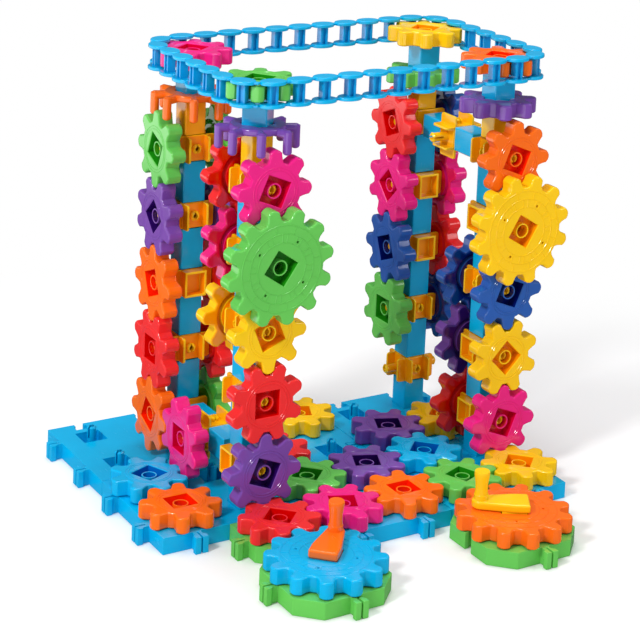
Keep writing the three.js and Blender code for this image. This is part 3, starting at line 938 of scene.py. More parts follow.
@dataclass
class PillarMould:
    """A square pillar piece with rounded edges and a shallow hollow in each end."""

    rounding: float = 0.9 * MM
    end_wall: float = 1.6 * MM
    end_hollow: float = 0.8 * MM

    def model(self, bottom: float, top: float, side: float = PILLAR_SIDE) -> Piece:
        """Models an upright pillar on the Z axis.

        Args:
            bottom: The height of its lower end.
            top: The height of its upper end.
            side: Its width.

        Returns:
            The pillar.
        """
        piece = block((side, side, top - bottom), (0, 0, (bottom + top) / 2))
        with editing(piece):
            pick_faces(piece, lambda spot, normal: abs(normal.z) > 0.5)
            bpy.ops.mesh.inset(thickness=self.end_wall, depth=-self.end_hollow, use_individual=True)
        rounded(piece, self.rounding, 3, 40)
        smooth(piece)
        return piece


# Columns with their gears and turning tops


@dataclass
class ColumnPlan:
    """Where a column stands and what it carries. A stepped gear sits one tooth further round."""

    name: str
    cell: tuple[int, int]
    # How strong the painted shade is on the axle blocks' walls and on the spacer.
    axle_depth: float
    spacer_depth: float
    top_paint: Paint
    chain_paint: Paint
    crowned: bool
    top_turn: float
    tube_levels: tuple[int, ...]
    bridge_level: int
    bridge_side: Side
    gears: dict[Side, tuple[Paint | None, ...]]
    stepped: dict[Side, tuple[int, ...]]
    big_level: int = 0
    big_turn: float = 0.0

    def frame_node(self) -> str:
        """The CAD node of the column and its bridge."""
        return f"frame_{self.name.split('_')[1]}"

    def arms(self, level: int) -> dict[Side, Arm]:
        """What the axle block of a level has on each side."""
        found = {}
        for side in Side:
            if level == self.bridge_level and side == self.bridge_side:
                found[side] = Arm.NONE
            elif side in self.gears or OPPOSITE[side] in self.gears:
                found[side] = Arm.PEG
            else:
                found[side] = Arm.TUBE if level in self.tube_levels else Arm.WINGS
        return found


@dataclass
class Moulds:
    """The gears, each modelled once."""

    small: Piece = field(init=False)
    big: Piece = field(init=False)

    def __post_init__(self) -> None:
        """Models the two gears."""
        self.small = GearMould(
            teeth=SMALL_TEETH, root=18.7 * MM, tip=26.4 * MM, ring_radii=(13.6 * MM, 15.4 * MM)
        ).model()
        self.big = BigGearMould(
            teeth=BIG_TEETH, root=30.2 * MM, tip=37.9 * MM, ring_radii=(16.7 * MM, 22.3 * MM, 27.8 * MM)
        ).model()

    def clear(self) -> None:
        """Removes the masters."""
        discard(self.small, self.big)


@dataclass
class Column:
    """A column: pillars, axle blocks, the gears on its sides and its turning top."""

    plan: ColumnPlan
    grid: Grid
    moulds: Moulds
    spacer_side: float = PILLAR_SIDE - 1.4 * MM
    chain_rise: float = 19 * MM
    plug_down: float = 5 * MM
    plug_up: float = 2.4 * MM

    def build(self) -> None:
        """Builds the whole column."""
        self._pillars()
        self._axles()
        for side, paints in self.plan.gears.items():
            self._gears(side, paints)
        self._top()

    def _stand(self, piece: Piece, height: float, name: str, paint: Paint) -> None:
        """Stands a piece of the frame on the column's peg.

        Args:
            piece: The piece, modelled round the Z axis.
            height: How far it is raised.
            name: Its name.
            paint: Its colour.
        """
        placed(piece, self.grid.at(*self.plan.cell, height), name)
        dress(piece, paint, "frame", self.plan.frame_node())

    def _pillars(self) -> None:
        """Builds the pillar pieces between the axle blocks."""
        half = BLOCK_HEIGHT / 2
        ends = [PLATE_FLOOR + FIT_GAP]
        for level in range(LEVELS, 0, -1):
            ends += [self.grid.axle(level) - half, self.grid.axle(level) + half]
        for index in range(LEVELS):
            piece = PillarMould().model(ends[2 * index], ends[2 * index + 1])
            self._stand(piece, 0, f"pillar_{self.plan.name}_{LEVELS - index}", Paint.SKY)

    def _axles(self) -> None:
        """Builds the axle blocks and the spacer above the top one."""
        for level in range(1, LEVELS + 1):
            piece = AxleMould().model(self.plan.arms(level), self.plan.axle_depth)
            self._stand(piece, self.grid.axle(level), f"axle_{self.plan.name}_{level}", Paint.YELLOW)
        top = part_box(f"top_{self.plan.name}")[0].z
        if self.plan.crowned:
            top += CROWN_DROP
        spacer = PillarMould().model(self.grid.axle(1) + BLOCK_HEIGHT / 2, top - FIT_GAP, self.spacer_side)
        # Painted shade over the whole spacer, stronger on the columns at the back.
        deepen(spacer, lambda spot, normal: True, self.plan.spacer_depth, WALL_AREA)
        self._stand(spacer, 0, f"spacer_{self.plan.name}", Paint.YELLOW)

    def _gears(self, side: Side, paints: tuple[Paint | None, ...]) -> None:
        """Hangs the gears on one side of the column.

        Args:
            side: The side that the gears are on.
            paints: Their colours from the top level down, with None where there is no gear.
        """
        for level, paint in enumerate(paints, 1):
            if not paint:
                continue
            body = f"gear_{self.plan.name}_{side.name.lower()}_{level}"
            node = None if body in NODELESS else body
            phase = 0.0 if level % 2 else HALF_TOOTH
            spot = self.grid.at(*self.plan.cell, self.grid.axle(level)) @ side.outward()
            extra = TOOTH_STEP if level in self.plan.stepped.get(side, ()) else 0.0
            small = copied(self.moulds.small, spot @ moved(z=GEAR_SEAT, turn=phase + extra), f"{body}_face")
            dress(small, paint, node or NODELESS[body], node)
            if side == Side.FRONT and level == self.plan.big_level:
                height = GEAR_SEAT + GEAR_THICKNESS + STACK_GAP
                outer = spot @ moved(z=height, turn=phase + self.plan.big_turn)
                dress(copied(self.moulds.big, outer, f"big_gear_{self.plan.name}"), paint, body, body)

    def _top(self) -> None:
        """Builds the drive wheel, the pillar piece and the chain gear that turn together."""
        name, cell = self.plan.name, self.plan.cell
        body = f"top_{name}"
        chain_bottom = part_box(body)[1].z - GEAR_THICKNESS
        drive_top = chain_bottom - self.chain_rise
        if self.plan.crowned:
            spot = self.grid.at(*cell, drive_top, HALF_TOOTH)
            drive = placed(CrownMould().model(), spot, f"crown_{name}")
        else:
            spot = self.grid.at(*cell, drive_top - GEAR_THICKNESS, HALF_TOOTH)
            drive = copied(self.moulds.small, spot, f"drive_gear_{name}")
        dress(drive, self.plan.top_paint, body, body)
        pillar = PillarMould().model(drive_top - self.plug_down, chain_bottom + self.plug_up)
        spot = self.grid.at(*cell, 0, self.plan.top_turn + HALF_TOOTH)
        dress(placed(pillar, spot, f"top_pillar_{name}"), Paint.SKY, body, body)
        spot = self.grid.at(*cell, chain_bottom, HALF_TOOTH - CHAIN_SLIP * TOOTH_STEP)
        dress(copied(self.moulds.small, spot, f"chain_gear_{name}"), self.plan.chain_paint, body, body)


@dataclass
class CrownMould:
    """A crown wheel: a disc with eight round arms that bend down into fingers."""

    thickness: float = 4.5 * MM
    disc_radius: float = 18 * MM
    disc_rounding: float = 1.3 * MM
    arm_start: float = 9 * MM
    arm_radius: float = 24.1 * MM
    finger_radius: float = 2.9 * MM
    finger_length: float = CROWN_DROP
    finger_lift: float = 1.7 * MM
    tip_steps: tuple[Pair, ...] = ((0.5 * MM, 0.9 * MM), (0.8 * MM, 0.6 * MM), (0.9 * MM, 0.2 * MM))
    recess: float = 3 * MM

    def model(self) -> Piece:
        """Models the wheel with its top at height zero.

        Returns:
            The crown wheel.
        """
        wheel = cylinder(self.disc_radius, -self.thickness, 0, 64)
        rounded(wheel, self.disc_rounding, 3)
        arm = self._arm()
        arms = [copied(arm, turned(TOOTH_STEP * index)) for index in range(SMALL_TEETH)]
        discard(arm)
        combine(wheel, merged(arms, "arms"), "UNION")
        combine(wheel, block((PILLAR_SIDE, PILLAR_SIDE, self.recess), (0, 0, 0)))
        smooth(wheel)
        return wheel

    def _arm(self) -> Piece:
        """Models a round arm along X that bends down into a finger with a round tip."""
        radius = self.finger_radius
        arm = cylinder(radius, self.arm_start, self.arm_radius, 24)
        arm.data.transform(moved(z=-radius) @ turned(QUARTER, "Y"))
        finger = cylinder(radius, -self.thickness - self.finger_length, -radius, 24)
        with editing(finger):
            pick_faces(finger, lambda spot, normal: normal.z < -0.9)
            for inset, depth in self.tip_steps:
                bpy.ops.mesh.inset(thickness=inset, depth=depth)
            bpy.ops.mesh.select_all(action="SELECT")
            bpy.ops.transform.translate(value=(self.arm_radius, 0, self.finger_lift))
        for part in (finger, ball(radius * 1.01, (self.arm_radius, 0, -radius))):
            combine(arm, part, "UNION")
        return arm


# Plates


@dataclass
class TabMould:
    """A T-shaped tab on a plate's edge, slit along its middle. It points along X."""

    neck: float = 5.6 * MM
    head: float = 9 * MM
    reach: float = 8.6 * MM
    root: float = 2 * MM
    neck_share: float = 0.4
    slope_share: float = 0.2
    slit: float = 1.1 * MM
    slit_start: float = 1.2 * MM
    clearance: float = 0.4 * MM

    def _shape(self, grow: float, bottom: float, top: float) -> Piece:
        """The tab's outline as a solid, grown by a clearance on each side."""
        start, neck_end = -self.root, self.reach * self.neck_share - grow
        width, head = self.neck + 2 * grow, self.head + 2 * grow
        middle = ((start + neck_end) / 2, 0, (bottom + top) / 2)
        piece = block((neck_end - start, width, top - bottom), middle)
        with editing(piece):
            pick_faces(piece, lambda spot, normal: normal.x > 0.5)
            extrude((self.reach * self.slope_share, 0, 0))
            stretch((1, head / width, 1))
            extrude((self.reach * self.neck_share + 2 * grow, 0, 0))
        return piece

    def model(self) -> Piece:
        """Models the tab."""
        piece = self._shape(0, 0, PLATE_THICKNESS)
        middle = (self.reach / 2 + self.slit_start, 0, PLATE_THICKNESS / 2)
        combine(piece, block((self.reach, self.slit, PLATE_THICKNESS * 2), middle))
        return piece

    def cutter(self) -> Piece:
        """Models the notch that takes such a tab, for cutting. It points into the plate."""
        return self._shape(self.clearance, -OVERRUN, PLATE_THICKNESS + OVERRUN)


def finish_plate(
    body: Piece, tabs: Sequence[Matrix], notches: Sequence[Matrix], pockets: Sequence[Pair]
) -> Piece:
    """Adds tabs to a plate and cuts its notches and pockets.

    Args:
        body: The plate's slab.
        tabs: The places of its tabs.
        notches: The places of its notches, each turned into the plate.
        pockets: The middles of its square pockets.

    Returns:
        The plate.
    """
    tab, notch = TabMould().model(), TabMould().cutter()
    for spot in tabs:
        combine(body, copied(tab, spot), "UNION")
    for spot in notches:
        combine(body, copied(notch, spot))
    depth = PLATE_THICKNESS - PLATE_FLOOR + OVERRUN
    for place in pockets:
        combine(body, block((SOCKET_SIDE, SOCKET_SIDE, depth), (*place, PLATE_FLOOR + depth / 2)))
    discard(tab, notch)
    rounded(body, 0.55 * MM, angle=40)
    smooth(body)
    return body


@dataclass
class Base:
    """The base: square plates, the two crank plates and the small corner plate."""

    grid: Grid
    strips: tuple[tuple[str, int, int], ...] = (("left", -2, 1), ("middle", 0, 0), ("right", 2, 0))
    pillar_cells: tuple[tuple[int, int], ...] = ((-1, 3), (-1, 1), (3, 3), (3, 1))
    bare_cells: tuple[tuple[int, int], ...] = ((-2, 3), (-2, 4), (-1, 2), (-1, 4), (0, 3), (1, 2), (2, 3))
    peg_foot: float = PLATE_FLOOR - 0.5 * MM
    peg_top: float = PLATE_TOP + 7.5 * MM
    low_peg_top: float = PLATE_TOP + 4 * MM
    peg_turn: float = 0.5
    crank_chamfer: float = 14 * MM
    corner_chamfer: float = 12 * MM
    tall: Piece = field(init=False)
    short: Piece = field(init=False)

    def build(self) -> None:
        """Builds every plate with its pegs."""
        master = self._square()
        self.tall = PegMould().model(self.peg_foot, self.peg_top)
        self.short = PegMould().model(self.peg_foot, self.low_peg_top)
        for name, column, row in self.strips:
            for index, first in enumerate((row, row + 2), 1):
                parts = [copied(master, self.grid.at(column, first)), *self._pegs(column, first)]
                dress(merged(parts, f"plate_{name}_{index}"), Paint.SKY, "frame", "base_plates")
        self._crank_plates()
        discard(master, self.tall, self.short)

    def _square(self) -> Piece:
        """Models a plate with its front left peg at the origin, and without its pegs.

        It has tabs on its left and front edges, and notches opposite.

        Returns:
            The plate.
        """
        side = 2 * self.grid.pitch - PLATE_SEAM
        half = self.grid.pitch / 2
        low, high = -half + PLATE_SEAM / 2, 3 * half - PLATE_SEAM / 2
        body = block((side, side, PLATE_THICKNESS), (half, half, PLATE_THICKNESS / 2))
        steps = (0, self.grid.pitch)
        tabs, notches = (
            [moved(edge, y, turn=math.pi) for y in steps] + [moved(x, edge, turn=-QUARTER) for x in steps]
            for edge in (low, high)
        )
        return finish_plate(body, tabs, notches, [(x, y) for x in steps for y in steps])

    def _pegs(self, column: int, row: int) -> list[Piece]:
        """Pegs for the cells of a plate that no pillar stands on, tall ones where there is no gear."""
        cells = [(column + i, row + j) for i in (0, 1) for j in (0, 1)]
        found = []
        for cell in cells:
            if cell not in self.pillar_cells:
                peg = self.tall if cell in self.bare_cells else self.short
                found.append(copied(peg, self.grid.at(*cell, turn=self.peg_turn)))
        return found

    @staticmethod
    def _slab(half: float, corners: Sequence[tuple[int, int]], chamfer: float) -> Piece:
        """Models a square slab with some corners cut off.

        Args:
            half: Half the slab's side.
            corners: The signs of X and Y of the corners that are cut.
            chamfer: How much of each side a cut takes.

        Returns:
            The slab.
        """
        slab = block((2 * half, 2 * half, PLATE_THICKNESS), (0, 0, PLATE_THICKNESS / 2))
        away = (2 * half - chamfer) / math.sqrt(2) + half
        for x, y in corners:
            tool = block((2 * half, 4 * half, 3 * PLATE_THICKNESS), (0, 0, 0))
            tool.data.transform(turned(math.atan2(y, x)) @ moved(away))
            combine(slab, tool)
        return slab

    @staticmethod
    def _edges(sides: Sequence[Side], reach: float, turn: float) -> list[Matrix]:
        """Places in the middle of a slab's sides, turned from the way out."""
        return [
            moved(reach * math.cos(side.value), reach * math.sin(side.value), turn=side.value + turn)
            for side in sides
        ]

    def _crank_plates(self) -> None:
        """Builds the two octagonal plates and the one-peg plate behind the left one."""
        wide, narrow = self.grid.pitch * 0.75 - PLATE_SEAM / 2, self.grid.pitch / 2 - PLATE_SEAM / 2
        every = [(1, 1), (1, -1), (-1, 1), (-1, -1)]
        left, right = (Side.LEFT, Side.FRONT), (Side.RIGHT, Side.FRONT)
        for name, cell, half, corners, chamfer, tabs in (
            ("crank_plate_left", (-1, CRANK_ROW), wide, every, self.crank_chamfer, left),
            ("corner_plate", (-1, 0), narrow, every[-1:], self.corner_chamfer, left),
            ("crank_plate_right", (2, CRANK_ROW), wide, every, self.crank_chamfer, right),
        ):
            notches = [OPPOSITE[side] for side in tabs]
            slab = self._slab(half, corners, chamfer)
            edges = self._edges(tabs, half, 0), self._edges(notches, half, math.pi)
            plate = finish_plate(slab, *edges, pockets=[(0, 0)])
            plate.data.transform(self.grid.at(*cell))
            piece = merged([plate, copied(self.short, self.grid.at(*cell))], name)
            dress(piece, Paint.GREEN, "frame", "base_plates")


# Gears on the base, bridges, cranks and chain


@dataclass
class BaseGears:
    """The gears that lie on the base, in the order of their nodes, some a tooth further round."""

    grid: Grid
    moulds: Moulds
    places: tuple[tuple[int, int, Paint], ...] = (
        (-1, 0, Paint.RED), (0, 0, Paint.MAGENTA), (1, 0, Paint.ORANGE), (2, 0, Paint.GREEN),
        (3, 0, Paint.YELLOW), (-2, 1, Paint.ORANGE), (0, 1, Paint.GREEN), (1, 1, Paint.PURPLE),
        (2, 1, Paint.SKY), (-2, 2, Paint.SKY), (0, 2, Paint.RED), (2, 2, Paint.PURPLE),
        (3, 2, Paint.YELLOW), (1, 3, Paint.YELLOW),
    )
    stepped: tuple[int, ...] = (2, 3, 6, 8, 12, 14)

    def build(self) -> None:
        """Lays each gear on its peg, in mesh with its neighbours."""
        for number, (column, row, paint) in enumerate(self.places, 1):
            node = f"base_gear_{number}"
            phase = HALF_TOOTH if (column + row) % 2 else 0.0
            extra = TOOTH_STEP if number in self.stepped else 0.0
            spot = self.grid.at(column, row, GEAR_BOTTOM, phase + extra)
            dress(copied(self.moulds.small, spot, f"{node}_face"), paint, node, node)


@dataclass
class Bridge:
    """Two pillars that lie from column to column, with an axle block between them."""

    grid: Grid
    name: str
    cell: tuple[int, int]
    level: int
    # How strong the painted shade is on the block's walls.
    axle_depth: float = 0.35

    def build(self) -> None:
        """Builds the bridge's two pillars and its block, whose axis lies along the bridge."""
        node = f"frame_{self.name}"
        middle = self.grid.at(*self.cell, self.grid.axle(self.level))
        for turn, word in ((QUARTER, "front"), (-QUARTER, "back")):
            piece = PillarMould().model(BLOCK_HEIGHT / 2, self.grid.pitch - GEAR_SEAT)
            piece = placed(piece, middle @ turned(turn, "X"), f"bridge_{self.name}_{word}")
            dress(piece, Paint.SKY, "frame", node)
        arms = {side: Arm.PEG if side in (Side.LEFT, Side.RIGHT) else Arm.WINGS for side in Side}
        axle = AxleMould().model(arms, self.axle_depth)
        axle = placed(axle, middle @ turned(QUARTER, "X"), f"bridge_axle_{self.name}")
        dress(axle, Paint.YELLOW, "frame", node)


@dataclass
class Crank:
    """A crank: a big gear, and a handle with a flat arm and an upright knob."""

    grid: Grid
    moulds: Moulds
    name: str
    column: int
    turn: float
    arm_turn: float
    gear_paint: Paint
    handle_paint: Paint
    thickness: float = 5.5 * MM
    throw: float = 21 * MM
    heel_half: float = 9.2 * MM
    heel_reach: float = 10 * MM
    tip_radius: float = 5.9 * MM
    arm_rounding: float = 1.5 * MM
    plug_height: float = 7 * MM
    plug_middle: float = -3.2 * MM
    plug_rounding: float = 0.6 * MM
    knob_radius: float = 5.0 * MM
    knob_height: float = 18.6 * MM
    knob_rounding: float = 0.9 * MM
    grip: tuple[Pair, ...] = (
        (0.0, 0.93), (0.17, 0.93), (0.175, 0.86), (0.2, 0.86), (0.36, 0.8),
        (0.55, 0.82), (0.74, 0.92), (0.86, 0.99), (0.95, 1.0), (1, 0.94),
    )

    def build(self) -> None:
        """Builds the gear and the handle."""
        body = f"crank_{self.name}"
        spot = self.grid.at(self.column, CRANK_ROW, GEAR_BOTTOM, self.turn)
        gear = copied(self.moulds.big, spot, f"{body}_gear_face")
        dress(gear, self.gear_paint, body, f"crank_gear_{self.name}")
        seat = spot @ moved(z=GEAR_THICKNESS + FIT_GAP, turn=self.arm_turn)
        handle = placed(self._handle(), seat, f"{body}_handle")
        dress(handle, self.handle_paint, body, f"crank_handle_{self.name}")

    def _handle(self) -> Piece:
        """Models the handle with its arm along X and its underside at height zero."""
        arm = cylinder(self.tip_radius, 0, self.thickness)
        arm.data.transform(moved(self.throw))
        with editing(arm):
            pick_faces(arm, lambda spot, normal: abs(normal.z) < 0.5 and spot.x < self.throw - 0.2 * MM)
            extrude((-self.throw, 0, 0))
            stretch((0, self.heel_half / self.tip_radius, 1))
            extrude((-self.heel_reach, 0, 0))
            bpy.ops.mesh.select_all(action="SELECT")
            bpy.ops.mesh.remove_doubles(threshold=0.05 * MM)
            bpy.ops.mesh.dissolve_limited(angle_limit=math.radians(2))
        rounded(arm, self.arm_rounding, 4, 40)
        plug = block((PILLAR_SIDE, PILLAR_SIDE, self.plug_height), (0, 0, self.plug_middle))
        rounded(plug, self.plug_rounding)
        whole = merged([arm, plug, self._knob()], "handle")
        smooth(whole, 38)
        return whole

    def _knob(self) -> Piece:
        """Models the knob: a collar at its foot, a waist, and a wider head with a round edge."""
        height, radius = self.thickness - OVERRUN, self.knob_radius * self.grip[0][1]
        knob = cylinder(radius, height - OVERRUN, height, 40)
        with editing(knob):
            pick_faces(knob, lambda spot, normal: normal.z > 0.5)
            for rise, width in self.grip:
                top, wanted = self.thickness + self.knob_height * rise, self.knob_radius * width
                extrude((0, 0, top - height))
                stretch((wanted / radius, wanted / radius, 1))
                height, radius = top, wanted
        rounded(knob, self.knob_rounding, 4, 50)
        knob.data.transform(moved(self.throw))
        return knob


@dataclass
class Chain:
    """The link chain round the four chain gears."""

    grid: Grid
    links_per_step: float = 2.5
    plate_thickness: float = 2.4 * MM
    plate_length: float = 16.9 * MM
    plate_width: float = 12.4 * MM
    plate_rounding: float = 0.6 * MM
    tongue: Triple = (3.4 * MM, 11 * MM, 1.5 * MM)
    tongue_rounding: float = 0.3 * MM
    web: Pair = (2.2 * MM, 4.6 * MM)
    flange: Pair = (6 * MM, 1.7 * MM)
    flange_aside: float = 2.1 * MM
    post_rounding: float = 0.5 * MM
    # Strength of the painted shade on the link's sides.
    post_depth: float = 0.35
    post_area: float = 3 * MM * MM

    def build(self) -> None:
        """Places every link round the gears."""
        low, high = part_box("chain")
        master = self._link(low.z, high.z)
        for number, (spot, angle) in enumerate(self._stations(), 1):
            link = copied(master, moved(*spot, angle), f"link_{number:02d}")
            dress(link, Paint.SKY, "frame", "chain")
        discard(master)

    def _stations(self) -> list[tuple[Vector, float]]:
        """The links' posts in order, each with the angle of the way out of the loop."""
        pitch = self.grid.pitch / self.links_per_step
        radius = pitch / 2 / math.sin(HALF_TOOTH)
        corners = (((-1, 1), math.pi, 4), ((3, 1), -QUARTER, 2), ((3, 3), 0.0, 4), ((-1, 3), QUARTER, 2))
        found = []
        for cell, start, steps in corners:
            centre = self.grid.point(*cell)
            found.append((self._spot(centre, radius, start, -CHAIN_SLIP * pitch), start))
            for index in (1, 2):
                angle = start + (index - CHAIN_SLIP) * TOOTH_STEP
                found.append((self._spot(centre, radius, angle, 0), angle))
            for index in range(1, round(steps * self.links_per_step)):
                spot = self._spot(centre, radius, start + QUARTER, (index - CHAIN_SLIP) * pitch)
                found.append((spot, start + QUARTER))
        return found

    @staticmethod
    def _spot(centre: Vector, radius: float, angle: float, along: float) -> Vector:
        """A place at a radius and angle round a gear, moved along the loop there."""
        out = Vector((math.cos(angle), math.sin(angle), 0))
        return centre + radius * out + along * Vector((-out.y, out.x, 0))

    def _link(self, low: float, high: float) -> Piece:
        """Models a link round the Z axis, with the way out along X.

        Args:
            low: The height of its lower plate's underside.
            high: The height of its upper plate's top.

        Returns:
            The link.
        """
        parts = []
        for bottom in (low, high - self.plate_thickness):
            plate = cylinder(self.plate_width / 2, bottom, bottom + self.plate_thickness, 28)
            with editing(plate):
                bpy.ops.mesh.select_all(action="SELECT")
                stretch((1, self.plate_length / self.plate_width, 1))
            rounded(plate, self.plate_rounding, 3, 40)
            tongue = block(self.tongue, (0, self.tongue[1] / 2, bottom + self.plate_thickness / 2))
            rounded(tongue, self.tongue_rounding, 1)
            parts += [plate, tongue]
        height, middle = high - low - self.plate_thickness, (low + high) / 2
        posts = [block((*self.web, height), (0, 0, middle))]
        posts += [block((*self.flange, height), (0, sign * self.flange_aside, middle)) for sign in (-1, 1)]
        for post in posts:
            rounded(post, self.post_rounding)
        whole = merged([*parts, *posts], "link")
        smooth(whole, 36)
        # Painted shade on the sides of the plates and posts.
        deepen(whole, lambda spot, normal: abs(normal.z) < 0.5, self.post_depth, self.post_area)
        return whole


# Stage, light and camera


@dataclass
class Studio:
    """A pale floor and backdrop, soft lamps and the photograph's camera."""

    grid: Grid
    camera_spot: Triple = (-13.6101, -21.7816, 12.2204)
    azimuth: float = -31.9449
    elevation: float = 8.881
    roll: float = 2.4565
    lens: float = 110.7722
    sensor: float = 36.0
    shift: Pair = (-0.0714, -0.6073)
    floor_size: float = 12
    floor_colour: tuple[float, float, float, float] = (0.94, 0.94, 0.945, 1)
    floor_roughness: float = 0.7
    shadow_reach: Pair = (0.26, 0.5)
    card_place: Pair = (-0.39, -0.46)
    mirrored_floor: Pair = (0.1, 1.8)
    mirrored_world: float = 0.15
    soft_light: float = 0.68
    aim: Triple = (0, 0, 0.12)
    lamps: tuple[tuple[str, Triple, float, float], ...] = (
        ("key", (-1.35, -0.4, 1.3), 0.3, 17.5),
        ("fill", (1.2, -1.2, 0.9), 0.6, 4.4),
        ("top", (0.1, 0.2, 1.7), 0.8, 12.0),
    )

    def build(self) -> None:
        """Builds the floor, the world, the lamps and the camera."""
        self._floor()
        self._world()
        self._lamps()
        self._camera()
        bpy.context.scene.view_settings.view_transform = "Standard"

    def _floor(self) -> None:
        """Lays a wide white floor: it shows the toy's shadow, and plain white further out.

        In reflections the floor is dim, apart from a bright card on the far left, which gives the
        uppermost faces on the left their sheen.
        """
        deselect_all()
        bpy.ops.mesh.primitive_plane_add(size=self.floor_size, location=(0, 0, 0))
        floor = settled()
        floor.name = "floor"
        made = bpy.data.materials.new("pale floor")
        made.use_nodes = True
        graph, nodes = Graph(made.node_tree), made.node_tree.nodes
        shader = nodes["Principled BSDF"]
        graph.feed(shader, {"Base Color": self.floor_colour, "Roughness": self.floor_roughness})
        place, path = graph.add("TexCoord").outputs["Object"], graph.add("LightPath").outputs
        reach = graph.add("VectorMath", {0: place}, operation="LENGTH").outputs["Value"]
        share = graph.maths("MULTIPLY", graph.smooth_step(reach, self.shadow_reach), path["Is Camera Ray"])
        white = graph.add("Emission").outputs["Emission"]
        across = graph.add("SeparateXYZ", {0: place}).outputs["X"]
        card = graph.smooth_step(across, self.card_place, self.mirrored_floor)
        dark = graph.add("Emission", {"Strength": card}).outputs["Emission"]
        far = graph.mixed(share, shader.outputs["BSDF"], white)
        graph.feed(nodes["Material Output"], {"Surface": graph.mixed(path["Is Glossy Ray"], far, dark)})
        floor.data.materials.append(made)

    def _world(self) -> None:
        """Makes the surroundings bright to the camera, soft light to colours and dim in reflections."""
        world = bpy.data.worlds.new("studio")
        bpy.context.scene.world = world
        world.use_nodes = True
        world.node_tree.nodes.clear()
        graph = Graph(world.node_tree)
        path = graph.add("LightPath").outputs
        seen, soft, dim = (
            graph.add("Background", {"Strength": strength}).outputs["Background"]
            for strength in (1, self.soft_light, self.mirrored_world)
        )
        lit = graph.mixed(path["Is Glossy Ray"], soft, dim)
        graph.add("OutputWorld", {"Surface": graph.mixed(path["Is Camera Ray"], lit, seen)})

    def _lamps(self) -> None:
        """Hangs a key lamp on the left, a fill lamp on the right and a top lamp."""
        for name, spot, size, power in self.lamps:
            data = bpy.data.lights.new(name, "AREA")
            data.shape, data.size, data.energy = "SQUARE", size, power
            lamp = bpy.data.objects.new(name, data)
            lamp.location = spot
            lamp.rotation_euler = (Vector(self.aim) - Vector(spot)).to_track_quat("-Z", "Y").to_euler()
            bpy.context.scene.collection.objects.link(lamp)

    def _camera(self) -> None:
        """Sets the camera where the photograph was taken."""
        azimuth, elevation, roll = map(math.radians, (self.azimuth, self.elevation, self.roll))
        level = math.cos(elevation)
        back = Vector((math.sin(azimuth) * level, -math.cos(azimuth) * level, math.sin(elevation)))
        right = Vector((math.cos(azimuth), math.sin(azimuth), 0))
        up = back.cross(right)
        across = math.cos(roll) * right + math.sin(roll) * up
        upward = -math.sin(roll) * right + math.cos(roll) * up
        spot = self.grid.origin + self.grid.pitch * Vector(self.camera_spot) + Vector((0, 0, PLATE_TOP))
        data = bpy.data.cameras.new("camera")
        data.sensor_fit, data.sensor_width, data.lens = "HORIZONTAL", self.sensor, self.lens
        data.shift_x, data.shift_y = self.shift
        data.clip_start, data.clip_end = 0.01, 50
        camera = bpy.data.objects.new("camera", data)
        axes = Matrix((across, upward, back)).transposed().to_4x4()
        camera.matrix_world = Matrix.Translation(spot) @ axes
        bpy.context.scene.collection.objects.link(camera)
        bpy.context.scene.camera = camera


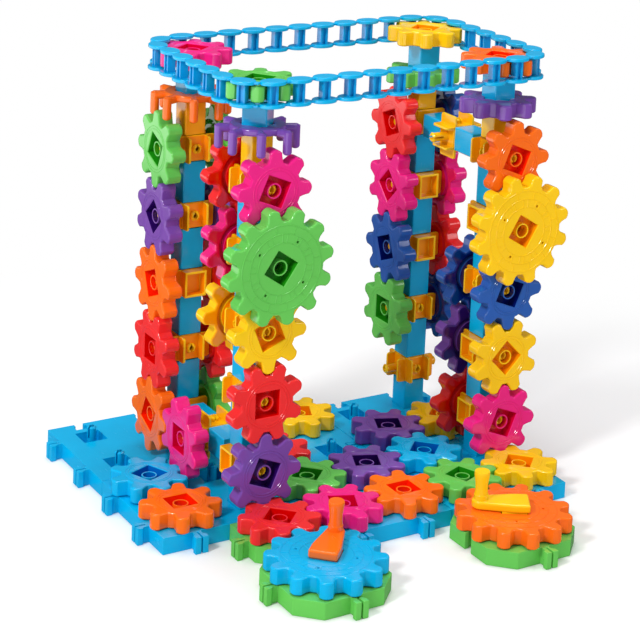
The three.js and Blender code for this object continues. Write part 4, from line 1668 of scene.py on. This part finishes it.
def column_plans() -> list[ColumnPlan]:
    """What each column carries, with its gears' colours from the top level down.

    Returns:
        The four plans.
    """
    p = Paint
    # Each plan gives the strength of the painted shade on its axle blocks and spacer; the columns at the
    # back get more.
    return [
        ColumnPlan(
            name="back_left", cell=(-1, 3), axle_depth=1.0, spacer_depth=0.8,
            top_paint=p.ORANGE, chain_paint=p.MAGENTA, crowned=True, top_turn=-HALF_TOOTH,
            tube_levels=(3,), bridge_level=5, bridge_side=Side.FRONT,
            gears={Side.LEFT: (p.GREEN, p.PURPLE, p.ORANGE, p.RED, p.ORANGE),
                   Side.RIGHT: (p.GREEN, p.PURPLE, p.RED, p.RED, p.GREEN)},
            stepped={Side.LEFT: (1, 4, 5)},
        ),
        ColumnPlan(
            name="front_left", cell=(-1, 1), axle_depth=0.7, spacer_depth=0.1,
            top_paint=p.PURPLE, chain_paint=p.GREEN, crowned=True, top_turn=HALF_TOOTH,
            tube_levels=(5,), bridge_level=5, bridge_side=Side.BACK,
            gears={Side.FRONT: (p.MAGENTA, p.GREEN, p.YELLOW, p.RED, p.PURPLE),
                   Side.BACK: (p.RED, p.MAGENTA, p.YELLOW)},
            stepped={Side.FRONT: (1, 4, 5)}, big_level=2, big_turn=math.radians(-12),
        ),
        ColumnPlan(
            name="back_right", cell=(3, 3), axle_depth=0.75, spacer_depth=0.5,
            top_paint=p.GREEN, chain_paint=p.YELLOW, crowned=False, top_turn=-HALF_TOOTH,
            tube_levels=(1, 2, 3), bridge_level=1, bridge_side=Side.FRONT,
            gears={Side.LEFT: (p.RED, p.MAGENTA, p.BLUE, p.GREEN),
                   Side.RIGHT: (p.BLUE, p.MAGENTA, p.RED, p.BLUE)},
            stepped={Side.LEFT: (4,)},
        ),
        ColumnPlan(
            name="front_right", cell=(3, 1), axle_depth=0.75, spacer_depth=0.05,
            top_paint=p.PURPLE, chain_paint=p.ORANGE, crowned=False, top_turn=-HALF_TOOTH,
            tube_levels=(2, 4, 5), bridge_level=1, bridge_side=Side.BACK,
            gears={Side.FRONT: (p.ORANGE, p.YELLOW, p.BLUE, p.YELLOW, p.MAGENTA),
                   Side.BACK: (None, None, p.BLUE, p.PURPLE, p.RED)},
            stepped={Side.FRONT: (1, 3, 5)}, big_level=2, big_turn=math.radians(-9),
        ),
    ]


def main() -> None:
    """Builds the toy's pieces in order, and then the stage."""
    grid = Grid()
    moulds = Moulds()
    Base(grid).build()
    for plan in column_plans():
        Column(plan, grid, moulds).build()
    Bridge(grid, "left", (-1, 2), level=5).build()
    Bridge(grid, "right", (3, 2), level=1).build()
    BaseGears(grid, moulds).build()
    seat = grid.at(-1, 2, grid.axle(5)) @ Side.LEFT.outward() @ moved(z=GEAR_SEAT, turn=1.5 * TOOTH_STEP)
    extra = copied(moulds.small, seat, "gear_beam_left_face")
    dress(extra, Paint.MAGENTA, "gear_beam_left", "gear_beam_left")
    for crank in (
        Crank(grid, moulds, "left", -1, 0.0, QUARTER / 2, Paint.SKY, Paint.ORANGE),
        Crank(grid, moulds, "right", 2, math.pi / BIG_TEETH, 3 * QUARTER / 2, Paint.ORANGE, Paint.YELLOW),
    ):
        crank.build()
    Chain(grid).build()
    moulds.clear()
    Studio(grid).build()


if __name__ == "__main__":
    main()
